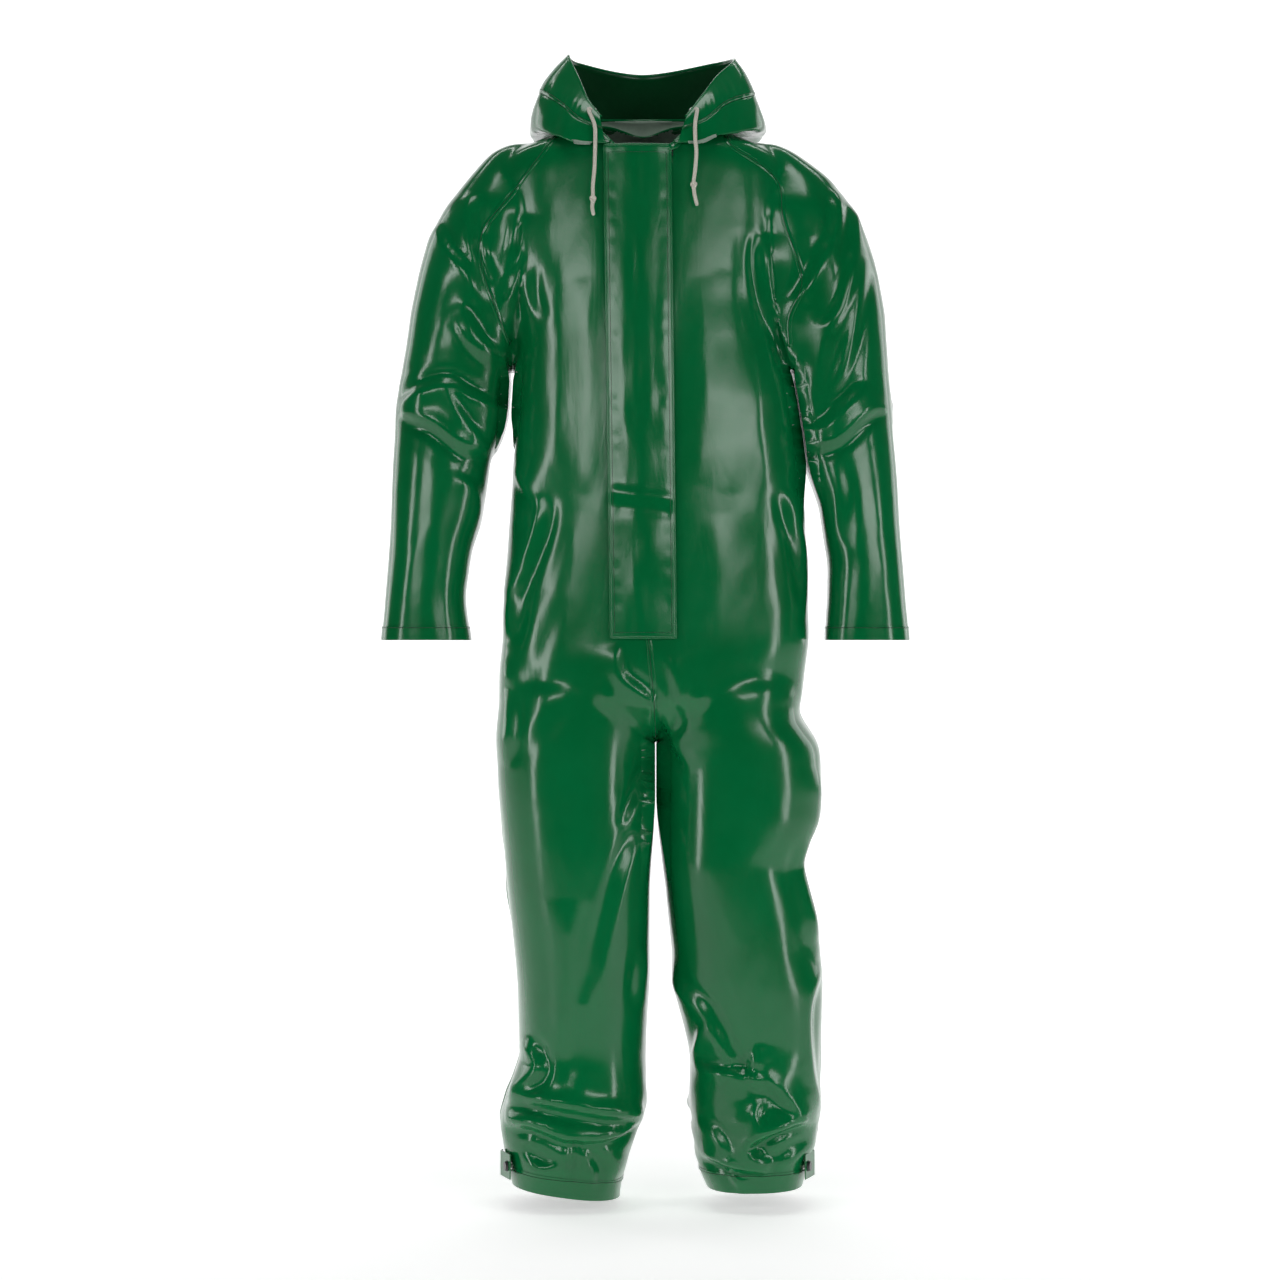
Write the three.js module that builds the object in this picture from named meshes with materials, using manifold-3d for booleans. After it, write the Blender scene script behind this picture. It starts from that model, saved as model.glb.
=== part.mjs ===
// Hooded chemical protective coverall, worn open at the neck with its hood down. Millimetres, +Z up.
// The origin is the middle of the neck opening at throat height. The front faces -Y and the wearer's left is +X.
// The coated cloth is 0.35 mm thick on the real suit; here every cloth wall is a thicker shell of the same outer shape.
import * as THREE from "three";
import { mergeVertices } from "three/addons/utils/BufferGeometryUtils.js";
import Module from "manifold-3d";

const wasm = await Module();
wasm.setup();

// ---- Driving dimensions ----
const wall = 3; // cloth shell
const seamGap = 0.8; // between two panels of one shell
const gap = 0.4; // between pieces that lie on each other
const roundness = 2.3; // superellipse exponent of every cloth section
const torsoPoints = 24; // points round a section of the torso
const limbPoints = 16; // and of a sleeve or leg

const frontY = -112.7; // centre front at throat height
const frontSlope = 0.033; // how far the straight centre front comes forward per mm down
const hipSway = 20; // the hips stand this far to the wearer's left of the neck
const swayTop = -350;
const swayBottom = -850;

const cuffZ = -667;
const hemZ = -1423;
const cuffHemDepth = 24; // the turned-up hem at the wrist
const legHemDepth = 30; // the turned-up hem at the ankle
const hemCloth = 1.6; // the hem's inner layer

const shoulder = { x: 195, z: -70, radius: 105 }; // where a sleeve swings, and the reach of its fixed cap
const hip = { z: -640, radius: 175 }; // where a leg swings, and the reach of the fixed seat

const neck = { halfWidth: 88, middleY: -18, halfDepth: 105, backZ: 38 }; // the opening in plan, and its floor's rise
const flap = { hingeX: 42, freeX: -52, top: -2, length: 662, cloth: 1.6, facing: 1.0 };
const zip = { top: -16, bottom: -606, slot: 14, pitch: 24, toothDepth: 3.4, front: 1.2, thick: 2.8 };
const tape = { inner: 3, outer: 22, behindWall: 2.2, thick: 1 };
const slider = { z: -30, width: 11, length: 15, thick: 3.2 };
const pull = { width: 8, length: 26, thick: 1.8 };
const fastening = { inner: -24, outer: -44, thick: 1.2, back: 0.8, topInset: 20, bottomInset: 14 }; // hook and loop

const cordRadius = 2.7;
const eyelet = { outer: 6.5, inner: 3.6, thick: 1.4 };
const hoodCloth = 2.5;
const hemBand = { width: 28, depth: 12.4, cloth: 1.8 }; // the folded edge of the hood that the drawcord runs in

const snap = { capRadius: 7.5, capThick: 3.2, studRadius: 5, studThick: 2, socketThick: 2 };
const takeUp = { centre: 41, height: 34, reach: 52, clothThick: 1.6, standoff: 5.2, sewn: 8, turn: 0.42 };
const knot = { radius: 2 * cordRadius, height: 2.1 * cordRadius };
const cordHang = { y: -123, lean: 0.045 }; // the free ends hang clear of the hood's lower fold

// ---- Sections of the cloth tubes, from top to bottom: z, x, half width, front y, back y ----
const centreFront = (z) => frontY + frontSlope * z;
const torsoSections = [
  { z: 56, x: 0, a: 52, front: -22, back: 78 },
  { z: 42, x: 0, a: 82, front: -62, back: 86 },
  { z: 28, x: 0, a: 116, front: -90, back: 92 },
  { z: 14, x: 0, a: 152, front: -105, back: 96 },
  { z: 2, x: 0, a: 188, front: centreFront(2), back: 99 },
  { z: -25, x: 0, a: 205, front: centreFront(-25), back: 106 },
  { z: -70, x: 0, a: 206, front: centreFront(-70), back: 113 },
  { z: -210, x: 0, a: 188, front: centreFront(-210), back: 126 },
  { z: -385, x: 0, a: 177, front: centreFront(-385), back: 116 },
  { z: -500, x: 0, a: 192, front: centreFront(-500), back: 112 },
  { z: -690, x: 0, a: 214, front: centreFront(-690), back: 126 },
  { z: -750, x: 0, a: 212, front: -130, back: 124 },
  { z: -785, x: 0, a: 190, front: -95, back: 92 },
  { z: -806, x: 0, a: 120, front: -45, back: 45 },
];
const armZ = (share) => THREE.MathUtils.lerp(-157, cuffZ, share);
const armSections = [
  { z: 14, x: 158, a: 26, front: -28, back: 34 },
  { z: 5, x: 165, a: 42, front: -48, back: 56 },
  { z: -75, x: 200, a: 81, front: -88, back: 94 },
  { z: -157, x: 228, a: 86, front: -94, back: 92 },
  { z: armZ(0.202), x: 250, a: 80, front: -91, back: 82 },
  { z: armZ(0.32), x: 261, a: 75, front: -88, back: 74 },
  { z: armZ(0.447), x: 268, a: 74, front: -87, back: 64 },
  { z: armZ(0.561), x: 277, a: 67, front: -88, back: 54 },
  { z: armZ(0.68), x: 289, a: 59, front: -91, back: 45 },
  { z: armZ(0.888), x: 299, a: 58, front: -96, back: 32 },
  { z: armZ(1), x: 300, a: 61, front: -98, back: 28 },
];
const legZ = (share) => THREE.MathUtils.lerp(-800, hemZ, share);
const legSections = [
  { z: -655, x: 92, a: 84, front: -96, back: 92 },
  { z: -740, x: 100, a: 107, front: -126, back: 120 },
  { z: -800, x: 107, a: 109, front: -126, back: 120 },
  { z: legZ(0.096), x: 111, a: 109, front: -124, back: 118 },
  { z: legZ(0.241), x: 110, a: 105, front: -122, back: 114 },
  { z: legZ(0.546), x: 112, a: 97, front: -112, back: 114 },
  { z: legZ(0.674), x: 117, a: 92, front: -106, back: 114 },
  { z: legZ(0.827), x: 126, a: 98, front: -110, back: 108 },
  { z: legZ(0.875), x: 128, a: 90, front: -104, back: 102 },
  { z: legZ(0.907), x: 128, a: 83, front: -98, back: 97 },
  { z: legZ(1), x: 128, a: 76, front: -90, back: 92 },
];

function sway(z) {
  return hipSway * THREE.MathUtils.smoothstep(-z, -swayTop, -swayBottom);
}

// ---- Meshes and booleans ----
function closedMesh(points, faces) {
  const geometry = new THREE.BufferGeometry();
  geometry.setAttribute("position", new THREE.Float32BufferAttribute(points.flat(), 3));
  geometry.setIndex(faces.flat());
  return geometry;
}

function solidOf(geometry) {
  const bare = geometry.clone();
  bare.deleteAttribute("normal");
  bare.deleteAttribute("uv");
  const merged = mergeVertices(bare, 1e-3);
  return new wasm.Manifold(
    new wasm.Mesh({
      numProp: 3,
      vertProperties: merged.attributes.position.array,
      triVerts: new Uint32Array(merged.index.array),
    }),
  );
}

// The largest body of a solid: cutting a shell can leave a sliver beside it.
function geometryOf(solid) {
  const bodies = solid.decompose();
  const largest = bodies.reduce((best, body) => (body.volume() > best.volume() ? body : best));
  const mesh = largest.getMesh();
  const points = [];
  for (let i = 0; i < mesh.numVert; i++) {
    points.push([...mesh.vertProperties.subarray(i * mesh.numProp, i * mesh.numProp + 3)]);
  }
  return closedMesh(points, [Array.from(mesh.triVerts)]);
}

const join = (solids) => solids.reduce((sum, next) => sum.add(next));

// A closed solid through rings of points, from the lowest ring to the highest, each counterclockwise from above.
function loft(rings) {
  const n = rings[0].length;
  const points = rings.flat();
  const faces = [];
  for (let i = 0; i + 1 < rings.length; i++) {
    for (let j = 0; j < n; j++) {
      const a = i * n + j;
      const b = i * n + ((j + 1) % n);
      faces.push([a, b, b + n], [a, b + n, a + n]);
    }
  }
  const last = (rings.length - 1) * n;
  const middle = (ring) => [0, 1, 2].map((k) => ring.reduce((sum, p) => sum + p[k], 0) / n);
  points.push(middle(rings[0]), middle(rings[rings.length - 1]));
  for (let j = 0; j < n; j++) {
    const next = (j + 1) % n;
    faces.push([points.length - 2, next, j], [points.length - 1, last + j, last + next]);
  }
  return closedMesh(points, faces);
}

// A sheet of some thickness from a grid of points on its outer face; flip turns the side it thickens to.
function thickSheet(grid, thickness, flip = false) {
  const rows = grid.length;
  const columns = grid[0].length;
  const at = (i, j) => new THREE.Vector3(...grid[THREE.MathUtils.clamp(i, 0, rows - 1)][
    THREE.MathUtils.clamp(j, 0, columns - 1)
  ]);
  const inner = grid.map((row, i) =>
    row.map((point, j) => {
      const along = at(i + 1, j).sub(at(i - 1, j));
      const across = at(i, j + 1).sub(at(i, j - 1));
      const normal = along.cross(across).normalize().multiplyScalar(flip ? -thickness : thickness);
      return new THREE.Vector3(...point).add(normal).toArray();
    }),
  );
  const points = [...grid.flat(), ...inner.flat()];
  const under = rows * columns;
  const faces = [];
  const quad = (a, b, c, d) => faces.push(flip ? [a, b, c] : [a, c, b], flip ? [a, c, d] : [a, d, c]);
  for (let i = 0; i + 1 < rows; i++) {
    for (let j = 0; j + 1 < columns; j++) {
      const a = i * columns + j;
      quad(a, a + columns, a + columns + 1, a + 1);
      quad(under + a, under + a + 1, under + a + columns + 1, under + a + columns);
    }
  }
  for (let i = 0; i + 1 < rows; i++) {
    const a = i * columns;
    const b = a + columns - 1;
    quad(a, under + a, under + a + columns, a + columns);
    quad(b, b + columns, under + b + columns, under + b);
  }
  for (let j = 0; j + 1 < columns; j++) {
    const b = (rows - 1) * columns + j;
    quad(j, j + 1, under + j + 1, under + j);
    quad(b, under + b, under + b + 1, b + 1);
  }
  return closedMesh(points, faces);
}

// A prism from an outline in the XZ or YZ plane, reaching depth each way across it.
function prism(outline, plane, depth = 400) {
  const shape = new THREE.Shape(outline.map(([u, v]) => new THREE.Vector2(u, v)));
  const geometry = new THREE.ExtrudeGeometry(shape, { depth: 2 * depth, bevelEnabled: false });
  geometry.translate(0, 0, -depth);
  geometry.rotateX(Math.PI / 2);
  if (plane === "yz") geometry.rotateZ(Math.PI / 2);
  return solidOf(geometry);
}

function block(x0, x1, y0, y1, z0, z1) {
  const geometry = new THREE.BoxGeometry(x1 - x0, y1 - y0, z1 - z0);
  geometry.translate((x0 + x1) / 2, (y0 + y1) / 2, (z0 + z1) / 2);
  return solidOf(geometry);
}

// ---- Cloth tubes ----
function ring(section, side, inset, drop, ringPoints = limbPoints) {
  const middleY = (section.front + section.back) / 2;
  const a = section.a - inset;
  const b = (section.back - section.front) / 2 - inset;
  const power = 2 / roundness;
  const x = side * section.x + sway(section.z);
  return Array.from({ length: ringPoints }, (_, i) => {
    const angle = (2 * Math.PI * i) / ringPoints;
    const c = Math.cos(angle);
    const s = Math.sin(angle);
    return [
      x + a * Math.sign(c) * Math.abs(c) ** power,
      middleY + b * Math.sign(s) * Math.abs(s) ** power,
      section.z - drop,
    ];
  });
}

// The tube's solid; inset shrinks it to its cavity, which then runs on past its open lower end.
function tube(sections, side, inset = 0, openEnd = 0) {
  const up = [...sections].reverse();
  const points = side === 0 ? torsoPoints : limbPoints;
  const rings = up.map((section, i) => {
    const closingTop = i >= up.length - (side === 0 ? 4 : 2);
    const closingBottom = i < 2 && !openEnd;
    return ring(section, side, inset, closingTop ? inset : closingBottom ? -inset : 0, points);
  });
  if (openEnd) rings.unshift(rings[0].map(([x, y, z]) => [x, y, z - openEnd]));
  return solidOf(loft(rings));
}

function sectionAt(sections, z) {
  const below = Math.max(1, sections.findIndex((section) => section.z <= z));
  const [top, bottom] = [sections[below - 1], sections[below]];
  const t = (z - top.z) / (bottom.z - top.z);
  const mix = (key) => top[key] + t * (bottom[key] - top[key]);
  return { z, x: mix("x"), a: mix("a"), front: mix("front"), back: mix("back") };
}

function suitSolid(inset, openEnd) {
  return join([
    tube(torsoSections, 0, inset),
    tube(armSections, 1, inset, openEnd),
    tube(armSections, -1, inset, openEnd),
    tube(legSections, 1, inset, openEnd),
    tube(legSections, -1, inset, openEnd),
  ]);
}

// The neck opening: an oval in plan that runs out over the throat, above a floor that rises to the nape.
function neckCutter() {
  const oval = Array.from({ length: 40 }, (_, i) => {
    const angle = (2 * Math.PI * i) / 40;
    return [neck.halfWidth * Math.cos(angle), neck.middleY + neck.halfDepth * Math.sin(angle)];
  });
  const rings = [-60, 300].map((z) => oval.map(([x, y]) => [x, y, z]));
  const nape = neck.middleY + neck.halfDepth;
  const rise = neck.backZ / (nape - frontY);
  const reach = 200;
  const floor = (y) => rise * (y - frontY);
  const above = prism([[-reach, floor(-reach)], [reach, floor(reach)], [reach, 400], [-reach, 400]], "yz");
  return solidOf(loft(rings)).intersect(above);
}

const outerSuit = suitSolid(0, 0);
const clearOfSuit = suitSolid(-gap, 0);
const shell = outerSuit.subtract(suitSolid(wall, 12)).subtract(neckCutter());

// The outline of one sleeve's region, outside the raglan seam: shift moves the seam outwards.
const raglanSeam = [
  [88, 110], [100, 40], [118, 14], [146, -20], [168, -36], [200, -83], [221, -132],
  [205, -206], [181, -271], [180, -320], [184, -385], [211, -500], [230, -600], [234, cuffZ - 60],
];
function sleeveRegion(side, shift) {
  const far = 500;
  const line = raglanSeam.map(([x, z]) => [side * (x + shift), z]);
  return prism([...line, [side * far, cuffZ - 60], [side * far, 110]], "xz");
}

// One side of the body, split at its swaying centre line.
function halfRegion(side, shift) {
  const far = 500;
  const steps = [200, swayTop, -450, -550, -650, -750, swayBottom, hemZ - 50];
  const line = steps.map((z) => [sway(z) + side * shift, z]);
  return prism([...line, [side * far, hemZ - 50], [side * far, 200]], "xz");
}

function cylinderRegion(axis, x, z, radius, length) {
  const geometry = new THREE.CylinderGeometry(radius, radius, length, 36);
  if (axis === "x") geometry.rotateZ(Math.PI / 2);
  geometry.translate(x, 0, z);
  return solidOf(geometry);
}

function legRegion(shift) {
  const below = block(-500, 500, -400, 400, hemZ - 60, hip.z - shift);
  return below.subtract(cylinderRegion("x", 0, hip.z, hip.radius + shift, 1100));
}

function capRegion(side, shift) {
  const low = shoulder.z;
  const toNeck = block(...[0, side * (shoulder.x + shift)].sort((p, q) => p - q), -300, 300, low, 200);
  return cylinderRegion("y", side * shoulder.x, shoulder.z, shoulder.radius + shift, 600).add(toNeck);
}

const frontRegion = block(-600, 600, -400, -seamGap / 2, hemZ - 60, 300);
const backRegion = block(-600, 600, seamGap / 2, 400, hemZ - 60, 300);

// The front or back of an arm, split along the sleeve's own middle.
function armHalf(isFront) {
  const far = isFront ? -300 : 300;
  const shift = isFront ? -seamGap / 2 : seamGap / 2;
  const line = armSections.map((section) => [(section.front + section.back) / 2 + shift, section.z]);
  const [top, bottom] = [line[0], line[line.length - 1]];
  const outline = [[top[0], 200], ...line, [bottom[0], cuffZ - 40], [far, cuffZ - 40], [far, 200]];
  return prism(outline, "yz", 600);
}

// ---- Materials ----
const finish = (color, roughness, metalness = 0) => new THREE.MeshStandardMaterial({ color, roughness, metalness });
const cloth = finish("#00693a", 0.22);
const lining = finish("#4f7460", 0.6);
const cotton = finish("#e6d9c6", 0.9);
const eyeletEnamel = finish("#0f7a44", 0.3, 0.5);
const blackEnamel = finish("#141414", 0.35, 0.3);
const steel = finish("#b9bcc0", 0.3, 1);
const zipTape = finish("#1f5a38", 0.85);
const zipPlastic = finish("#14583a", 0.45);
const hookLoop = finish("#12452c", 0.95);

const suit = new THREE.Group();
function piece(name, geometry, material, parent = suit) {
  const mesh = new THREE.Mesh(geometry, material);
  mesh.name = name;
  parent.add(mesh);
  return mesh;
}

// ---- Body, sleeves and legs ----
const placketSlot = block(-zip.slot / 2, zip.slot / 2, -400, 0, zip.bottom - 8, 100);

function addBodyPanels() {
  const body = shell.subtract(sleeveRegion(1, 0)).subtract(sleeveRegion(-1, 0)).subtract(placketSlot);
  const seat = body.subtract(legRegion(0));
  const legs = body.intersect(legRegion(seamGap));
  for (const [side, name] of [[1, "left"], [-1, "right"]]) {
    const half = halfRegion(side, seamGap / 2);
    const torsoHalf = seat.intersect(half);
    const legHalf = legs.intersect(half);
    piece(`front_panel_${name}`, geometryOf(torsoHalf.intersect(frontRegion)), cloth);
    piece(`back_panel_${name}`, geometryOf(torsoHalf.intersect(backRegion)), cloth);
    piece(`leg_front_${name}`, geometryOf(legHalf.intersect(frontRegion)), cloth);
    piece(`leg_back_${name}`, geometryOf(legHalf.intersect(backRegion)), cloth);
  }
}

function addSleeves() {
  for (const [side, name] of [[1, "left"], [-1, "right"]]) {
    const whole = shell.intersect(sleeveRegion(side, seamGap));
    piece(`raglan_cap_${name}`, geometryOf(whole.intersect(capRegion(side, 0))), cloth);
    const sleeve = whole.subtract(capRegion(side, seamGap));
    piece(`sleeve_front_${name}`, geometryOf(sleeve.intersect(armHalf(true))), cloth);
    piece(`sleeve_back_${name}`, geometryOf(sleeve.intersect(armHalf(false))), cloth);
  }
}

// The inner layer of a turned-up hem: a short tube just inside the cloth.
function hemRing(sections, side, depth) {
  const bottom = sections[sections.length - 1].z + gap;
  const levels = [bottom, bottom + depth];
  const outer = levels.map((z) => ring(sectionAt(sections, z), side, wall + gap, 0));
  const inner = [levels[0] - 5, levels[1] + 5].map((z, i) =>
    ring(sectionAt(sections, levels[i]), side, wall + gap + hemCloth, levels[i] - z),
  );
  return geometryOf(solidOf(loft(outer)).subtract(solidOf(loft(inner))));
}

function addHems() {
  for (const [side, name] of [[1, "left"], [-1, "right"]]) {
    piece(`cuff_hem_${name}`, hemRing(armSections, side, cuffHemDepth), lining);
    piece(`leg_hem_${name}`, hemRing(legSections, side, legHemDepth), lining);
  }
}

// ---- The closure: its frame lies on the straight centre front, local -Z running down it ----
const closure = new THREE.Group();
closure.position.set(0, frontY, 0);
closure.rotation.x = -frontSlope;
suit.add(closure);

// A strip of constant section along the closure: line is its inner face, from +X to -X.
function closureStrip(line, thickness, top, length) {
  const outer = line.map(([x, y]) => new THREE.Vector2(x, y - thickness)).reverse();
  const shape = new THREE.Shape([...line.map(([x, y]) => new THREE.Vector2(x, y)), ...outer]);
  const geometry = new THREE.ExtrudeGeometry(shape, { depth: length, bevelEnabled: false });
  return geometry.translate(0, 0, top - length);
}

function localBlock(x0, x1, y0, y1, z0, z1) {
  const geometry = new THREE.BoxGeometry(x1 - x0, y1 - y0, z1 - z0);
  return geometry.translate((x0 + x1) / 2, (y0 + y1) / 2, (z0 + z1) / 2);
}

// The flap's inner face: sewn down at its hinge edge, arched over the zip, and closed on the hook and loop.
const flapLine = [
  [flap.hingeX, -1.2], [flap.hingeX - 9, -4.5], [flap.hingeX - 20, -9], [-13, -9], [-22, -3.8], [flap.freeX, -3.8],
];

function addFlap() {
  piece("storm_flap", closureStrip(flapLine, flap.cloth, flap.top, flap.length), cloth, closure);
  const behind = gap + flap.facing;
  const inset = 4;
  const facingLine = flapLine.slice(1).map(([x, y], i, all) => [i === all.length - 1 ? x + inset : x, y + behind]);
  const facing = closureStrip(facingLine, flap.facing, flap.top - inset, flap.length - 2 * inset);
  piece("storm_flap_facing", facing, lining, closure);
  const top = flap.top - fastening.topInset;
  const bottom = top - flap.length + fastening.topInset + fastening.bottomInset;
  const hookFront = flapLine[4][1] + behind + gap;
  const hook = localBlock(fastening.outer, fastening.inner, hookFront, hookFront + fastening.thick, bottom, top);
  piece("hook_strip", hook, hookLoop, closure);
  const loopFront = fastening.back - fastening.thick;
  const loop = localBlock(fastening.outer, fastening.inner, loopFront, fastening.back, bottom, top);
  piece("loop_strip", loop, hookLoop, closure);
}

// One side of the chain: a spine with teeth that reach between the other side's.
function comb(side) {
  const spine = zip.toothDepth / 2 + 0.6;
  const back = spine + 1.4;
  const tooth = zip.pitch / 2 - 0.5;
  const offset = side > 0 ? 0 : zip.pitch / 2;
  const outline = [[side * back, zip.top], [side * spine, zip.top]];
  const count = Math.floor((zip.top - zip.bottom - offset) / zip.pitch) - 1;
  for (let i = 0; i < count; i++) {
    const high = zip.top - offset - i * zip.pitch - 1;
    const tip = -side * (zip.toothDepth / 2 - 0.2);
    outline.push([side * spine, high], [tip, high - 0.6], [tip, high - tooth + 0.6], [side * spine, high - tooth]);
  }
  outline.push([side * spine, zip.bottom], [side * back, zip.bottom]);
  const shape = new THREE.Shape(outline.map(([x, z]) => new THREE.Vector2(x, z)));
  const geometry = new THREE.ExtrudeGeometry(shape, { depth: zip.thick, bevelEnabled: false });
  geometry.rotateX(Math.PI / 2);
  return geometry.translate(0, zip.front + zip.thick, 0);
}

function addZip() {
  for (const [side, name] of [[1, "left"], [-1, "right"]]) {
    const [low, high] = [side * tape.inner, side * tape.outer].sort((p, q) => p - q);
    const front = wall + tape.behindWall;
    const strip = localBlock(low, high, front, front + tape.thick, zip.bottom - 16, zip.top + 10);
    piece(`zip_tape_${name}`, strip, zipTape, closure);
    piece(`zip_teeth_${name}`, comb(side), zipPlastic, closure);
    const [inner, outer] = [side * 0.8, side * 5].sort((p, q) => p - q);
    const stop = localBlock(inner, outer, zip.front - 0.8, zip.front + zip.thick, zip.top + gap, zip.top + 5);
    piece(`zip_top_stop_${name}`, stop, steel, closure);
  }
  const low = zip.bottom - gap;
  piece("zip_bottom_stop", localBlock(-5, 5, zip.front - 0.8, zip.front + zip.thick, low - 6, low), steel, closure);
}

function addSlider() {
  const front = zip.front - gap - slider.thick;
  const half = slider.width / 2;
  const outline = new THREE.Shape();
  outline.moveTo(-half, 0);
  outline.quadraticCurveTo(-half, slider.length * 0.55, 0, slider.length * 0.5);
  outline.quadraticCurveTo(half, slider.length * 0.55, half, 0);
  outline.lineTo(half * 0.75, -slider.length * 0.5);
  outline.lineTo(-half * 0.75, -slider.length * 0.5);
  outline.closePath();
  const plate = new THREE.ExtrudeGeometry(outline, { depth: slider.thick, bevelEnabled: false, curveSegments: 5 });
  plate.rotateX(Math.PI / 2).translate(0, front + slider.thick, slider.z);
  const post = new THREE.CylinderGeometry(1.6, 1.6, pull.thick + gap + 1.2, 12);
  post.translate(0, front - (pull.thick + gap + 1.2) / 2 + 0.4, slider.z);
  const cap = new THREE.CylinderGeometry(2.6, 2.6, 1, 12).translate(0, front - pull.thick - 2 * gap - 0.5, slider.z);
  const whole = join([plate, post, cap].map(solidOf));
  piece("zip_slider", geometryOf(whole), steel, closure);

  const tab = new THREE.Shape();
  const wide = pull.width / 2;
  tab.absarc(0, 0, wide, 0, Math.PI, false);
  tab.lineTo(-wide * 0.8, -pull.length);
  tab.lineTo(wide * 0.8, -pull.length);
  tab.closePath();
  tab.holes.push(new THREE.Path().absarc(0, 0, 1.6 + gap, 0, 2 * Math.PI, true));
  const plateTab = new THREE.ExtrudeGeometry(tab, { depth: pull.thick, bevelEnabled: false, curveSegments: 8 });
  plateTab.rotateX(Math.PI / 2).translate(0, front - gap, slider.z);
  piece("zip_pull_tab", plateTab, steel, closure);
}

// ---- Hood, lying open behind the neck ----
// Each column runs from the neck seam, out under the fold, over it and up to the rim, for the wearer's left.
const hoodColumns = [
  [[50, -114, 5], [55, -117, 12], [58, -117, 20], [58, -115, 28], [56, -112, 36]],
  [[70, -104, 19], [80, -112, 22], [86, -111, 32], [82, -104, 46], [74, -95, 60]],
  [[90, -72, 32], [110, -90, 28], [122, -82, 38], [108, -68, 68], [87, -58, 98]],
  [[95, -20, 42], [132, -24, 41], [154, -18, 48], [132, -12, 94], [105, -8, 130]],
  [[70, 56, 56], [112, 84, 36], [138, 110, 20], [120, 104, 84], [90, 66, 133]],
  [[0, 92, 62], [0, 126, 12], [0, 166, -48], [0, 178, 40], [0, 118, 128]],
];
const hoodAcross = 26; // steps round the hood
const hoodAlong = 5; // steps from the neck seam to the folded edge
const crownHalf = 46;

const hoodCurves = (() => {
  const left = hoodColumns.map((column) => column.map((point) => new THREE.Vector3(...point)));
  const right = left.slice(0, -1).map((column) => column.map((p) => new THREE.Vector3(-p.x, p.y, p.z)));
  return [...right, ...left.reverse()].map((column) => new THREE.CatmullRomCurve3(column));
})();

// Lines round the hood, evenly spaced from the neck seam to the rim, each from the right end to the left.
const hoodLines = Array.from({ length: 9 }, (_, k) =>
  new THREE.CatmullRomCurve3(hoodCurves.map((curve) => curve.getPoint(k / 8))),
);

// The hood's outer face at one place round it: a curve from the neck seam to the rim.
const hoodColumn = (along) => new THREE.CatmullRomCurve3(hoodLines.map((line) => line.getPoint(along)));

// Where the folded edge starts, as a share of the way up its column: it narrows at the hood's short front ends.
const hemStart = (column) => Math.max(0.15, 1 - (hemBand.width - 2) / column.getLength());

// The frame of the rim at one place: up is towards the rim, inward is into the folded edge.
function rimFrame(along) {
  const column = hoodColumn(along);
  const at = column.getPointAt(1);
  const low = column.getPointAt(hemStart(column));
  const up = at.clone().sub(low).normalize();
  const round = hoodLines[8].getTangent(along);
  const inward = round.clone().cross(up).normalize();
  const point = (u, v) => at.clone().addScaledVector(up, u).addScaledVector(inward, v);
  return { low, at, up, inward, point };
}

// The folded edge at one place: its outer face, up, over the rim and down inside.
function hemSection(along) {
  const { low, at, point } = rimFrame(along);
  const straight = -low.distanceTo(at);
  const outline = [[straight, 0], [-3, 0], [0, 0.3], [0, 0.7], [-3, 1], [straight, 1]];
  return outline.map(([u, v]) => point(u, v * hemBand.depth).toArray());
}

// The room that the folded edge takes up, a little larger than it all round.
function hemRoom() {
  const rings = Array.from({ length: hoodAcross + 1 }, (_, i) => {
    const { low, at, point } = rimFrame(i / hoodAcross);
    const foot = -low.distanceTo(at) - 2 * gap;
    const outline = [[foot, -gap], [gap, -gap], [gap, hemBand.depth + gap], [foot, hemBand.depth + gap]];
    return outline.map(([u, v]) => point(u, v).toArray());
  });
  const room = solidOf(loft(rings));
  return room.volume() > 0 ? room : solidOf(loft(rings.map((ringPoints) => [...ringPoints].reverse())));
}

// Where the drawcord lies in the folded edge.
function channelPoint(along) {
  return rimFrame(along).point(-hemBand.cloth - cordRadius - 1.2, hemBand.depth / 2);
}

function cordTube(points, steps, radius = cordRadius) {
  const circle = new THREE.Shape().absarc(0, 0, radius, 0, 2 * Math.PI);
  const path = new THREE.CatmullRomCurve3(points);
  return new THREE.ExtrudeGeometry(circle, { extrudePath: path, steps, curveSegments: 5, bevelEnabled: false });
}

const eyeletStep = 1; // the step of the folded edge, from each front end, that holds an eyelet

// The frame of an eyelet: it sits on one flat step of the folded edge, its axis running outwards.
function eyeletFrame(side) {
  const first = side > 0 ? hoodAcross - eyeletStep - 1 : eyeletStep;
  const [here, next] = [first, first + 1].map((i) => hemSection(i / hoodAcross).map((p) => new THREE.Vector3(...p)));
  const low = here[0].clone().lerp(next[0], 0.5);
  const high = here[1].clone().lerp(next[1], 0.5);
  const up = high.clone().sub(low).normalize();
  const outward = up.clone().cross(next[1].clone().sub(here[1])).normalize();
  return { centre: high.addScaledVector(up, 3 - hemBand.cloth - cordRadius - 1.2), outward };
}

function alongAxis(geometry, centre, direction) {
  const turn = new THREE.Quaternion().setFromUnitVectors(new THREE.Vector3(0, 1, 0), direction);
  return geometry.applyQuaternion(turn).translate(...centre.toArray());
}

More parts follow.
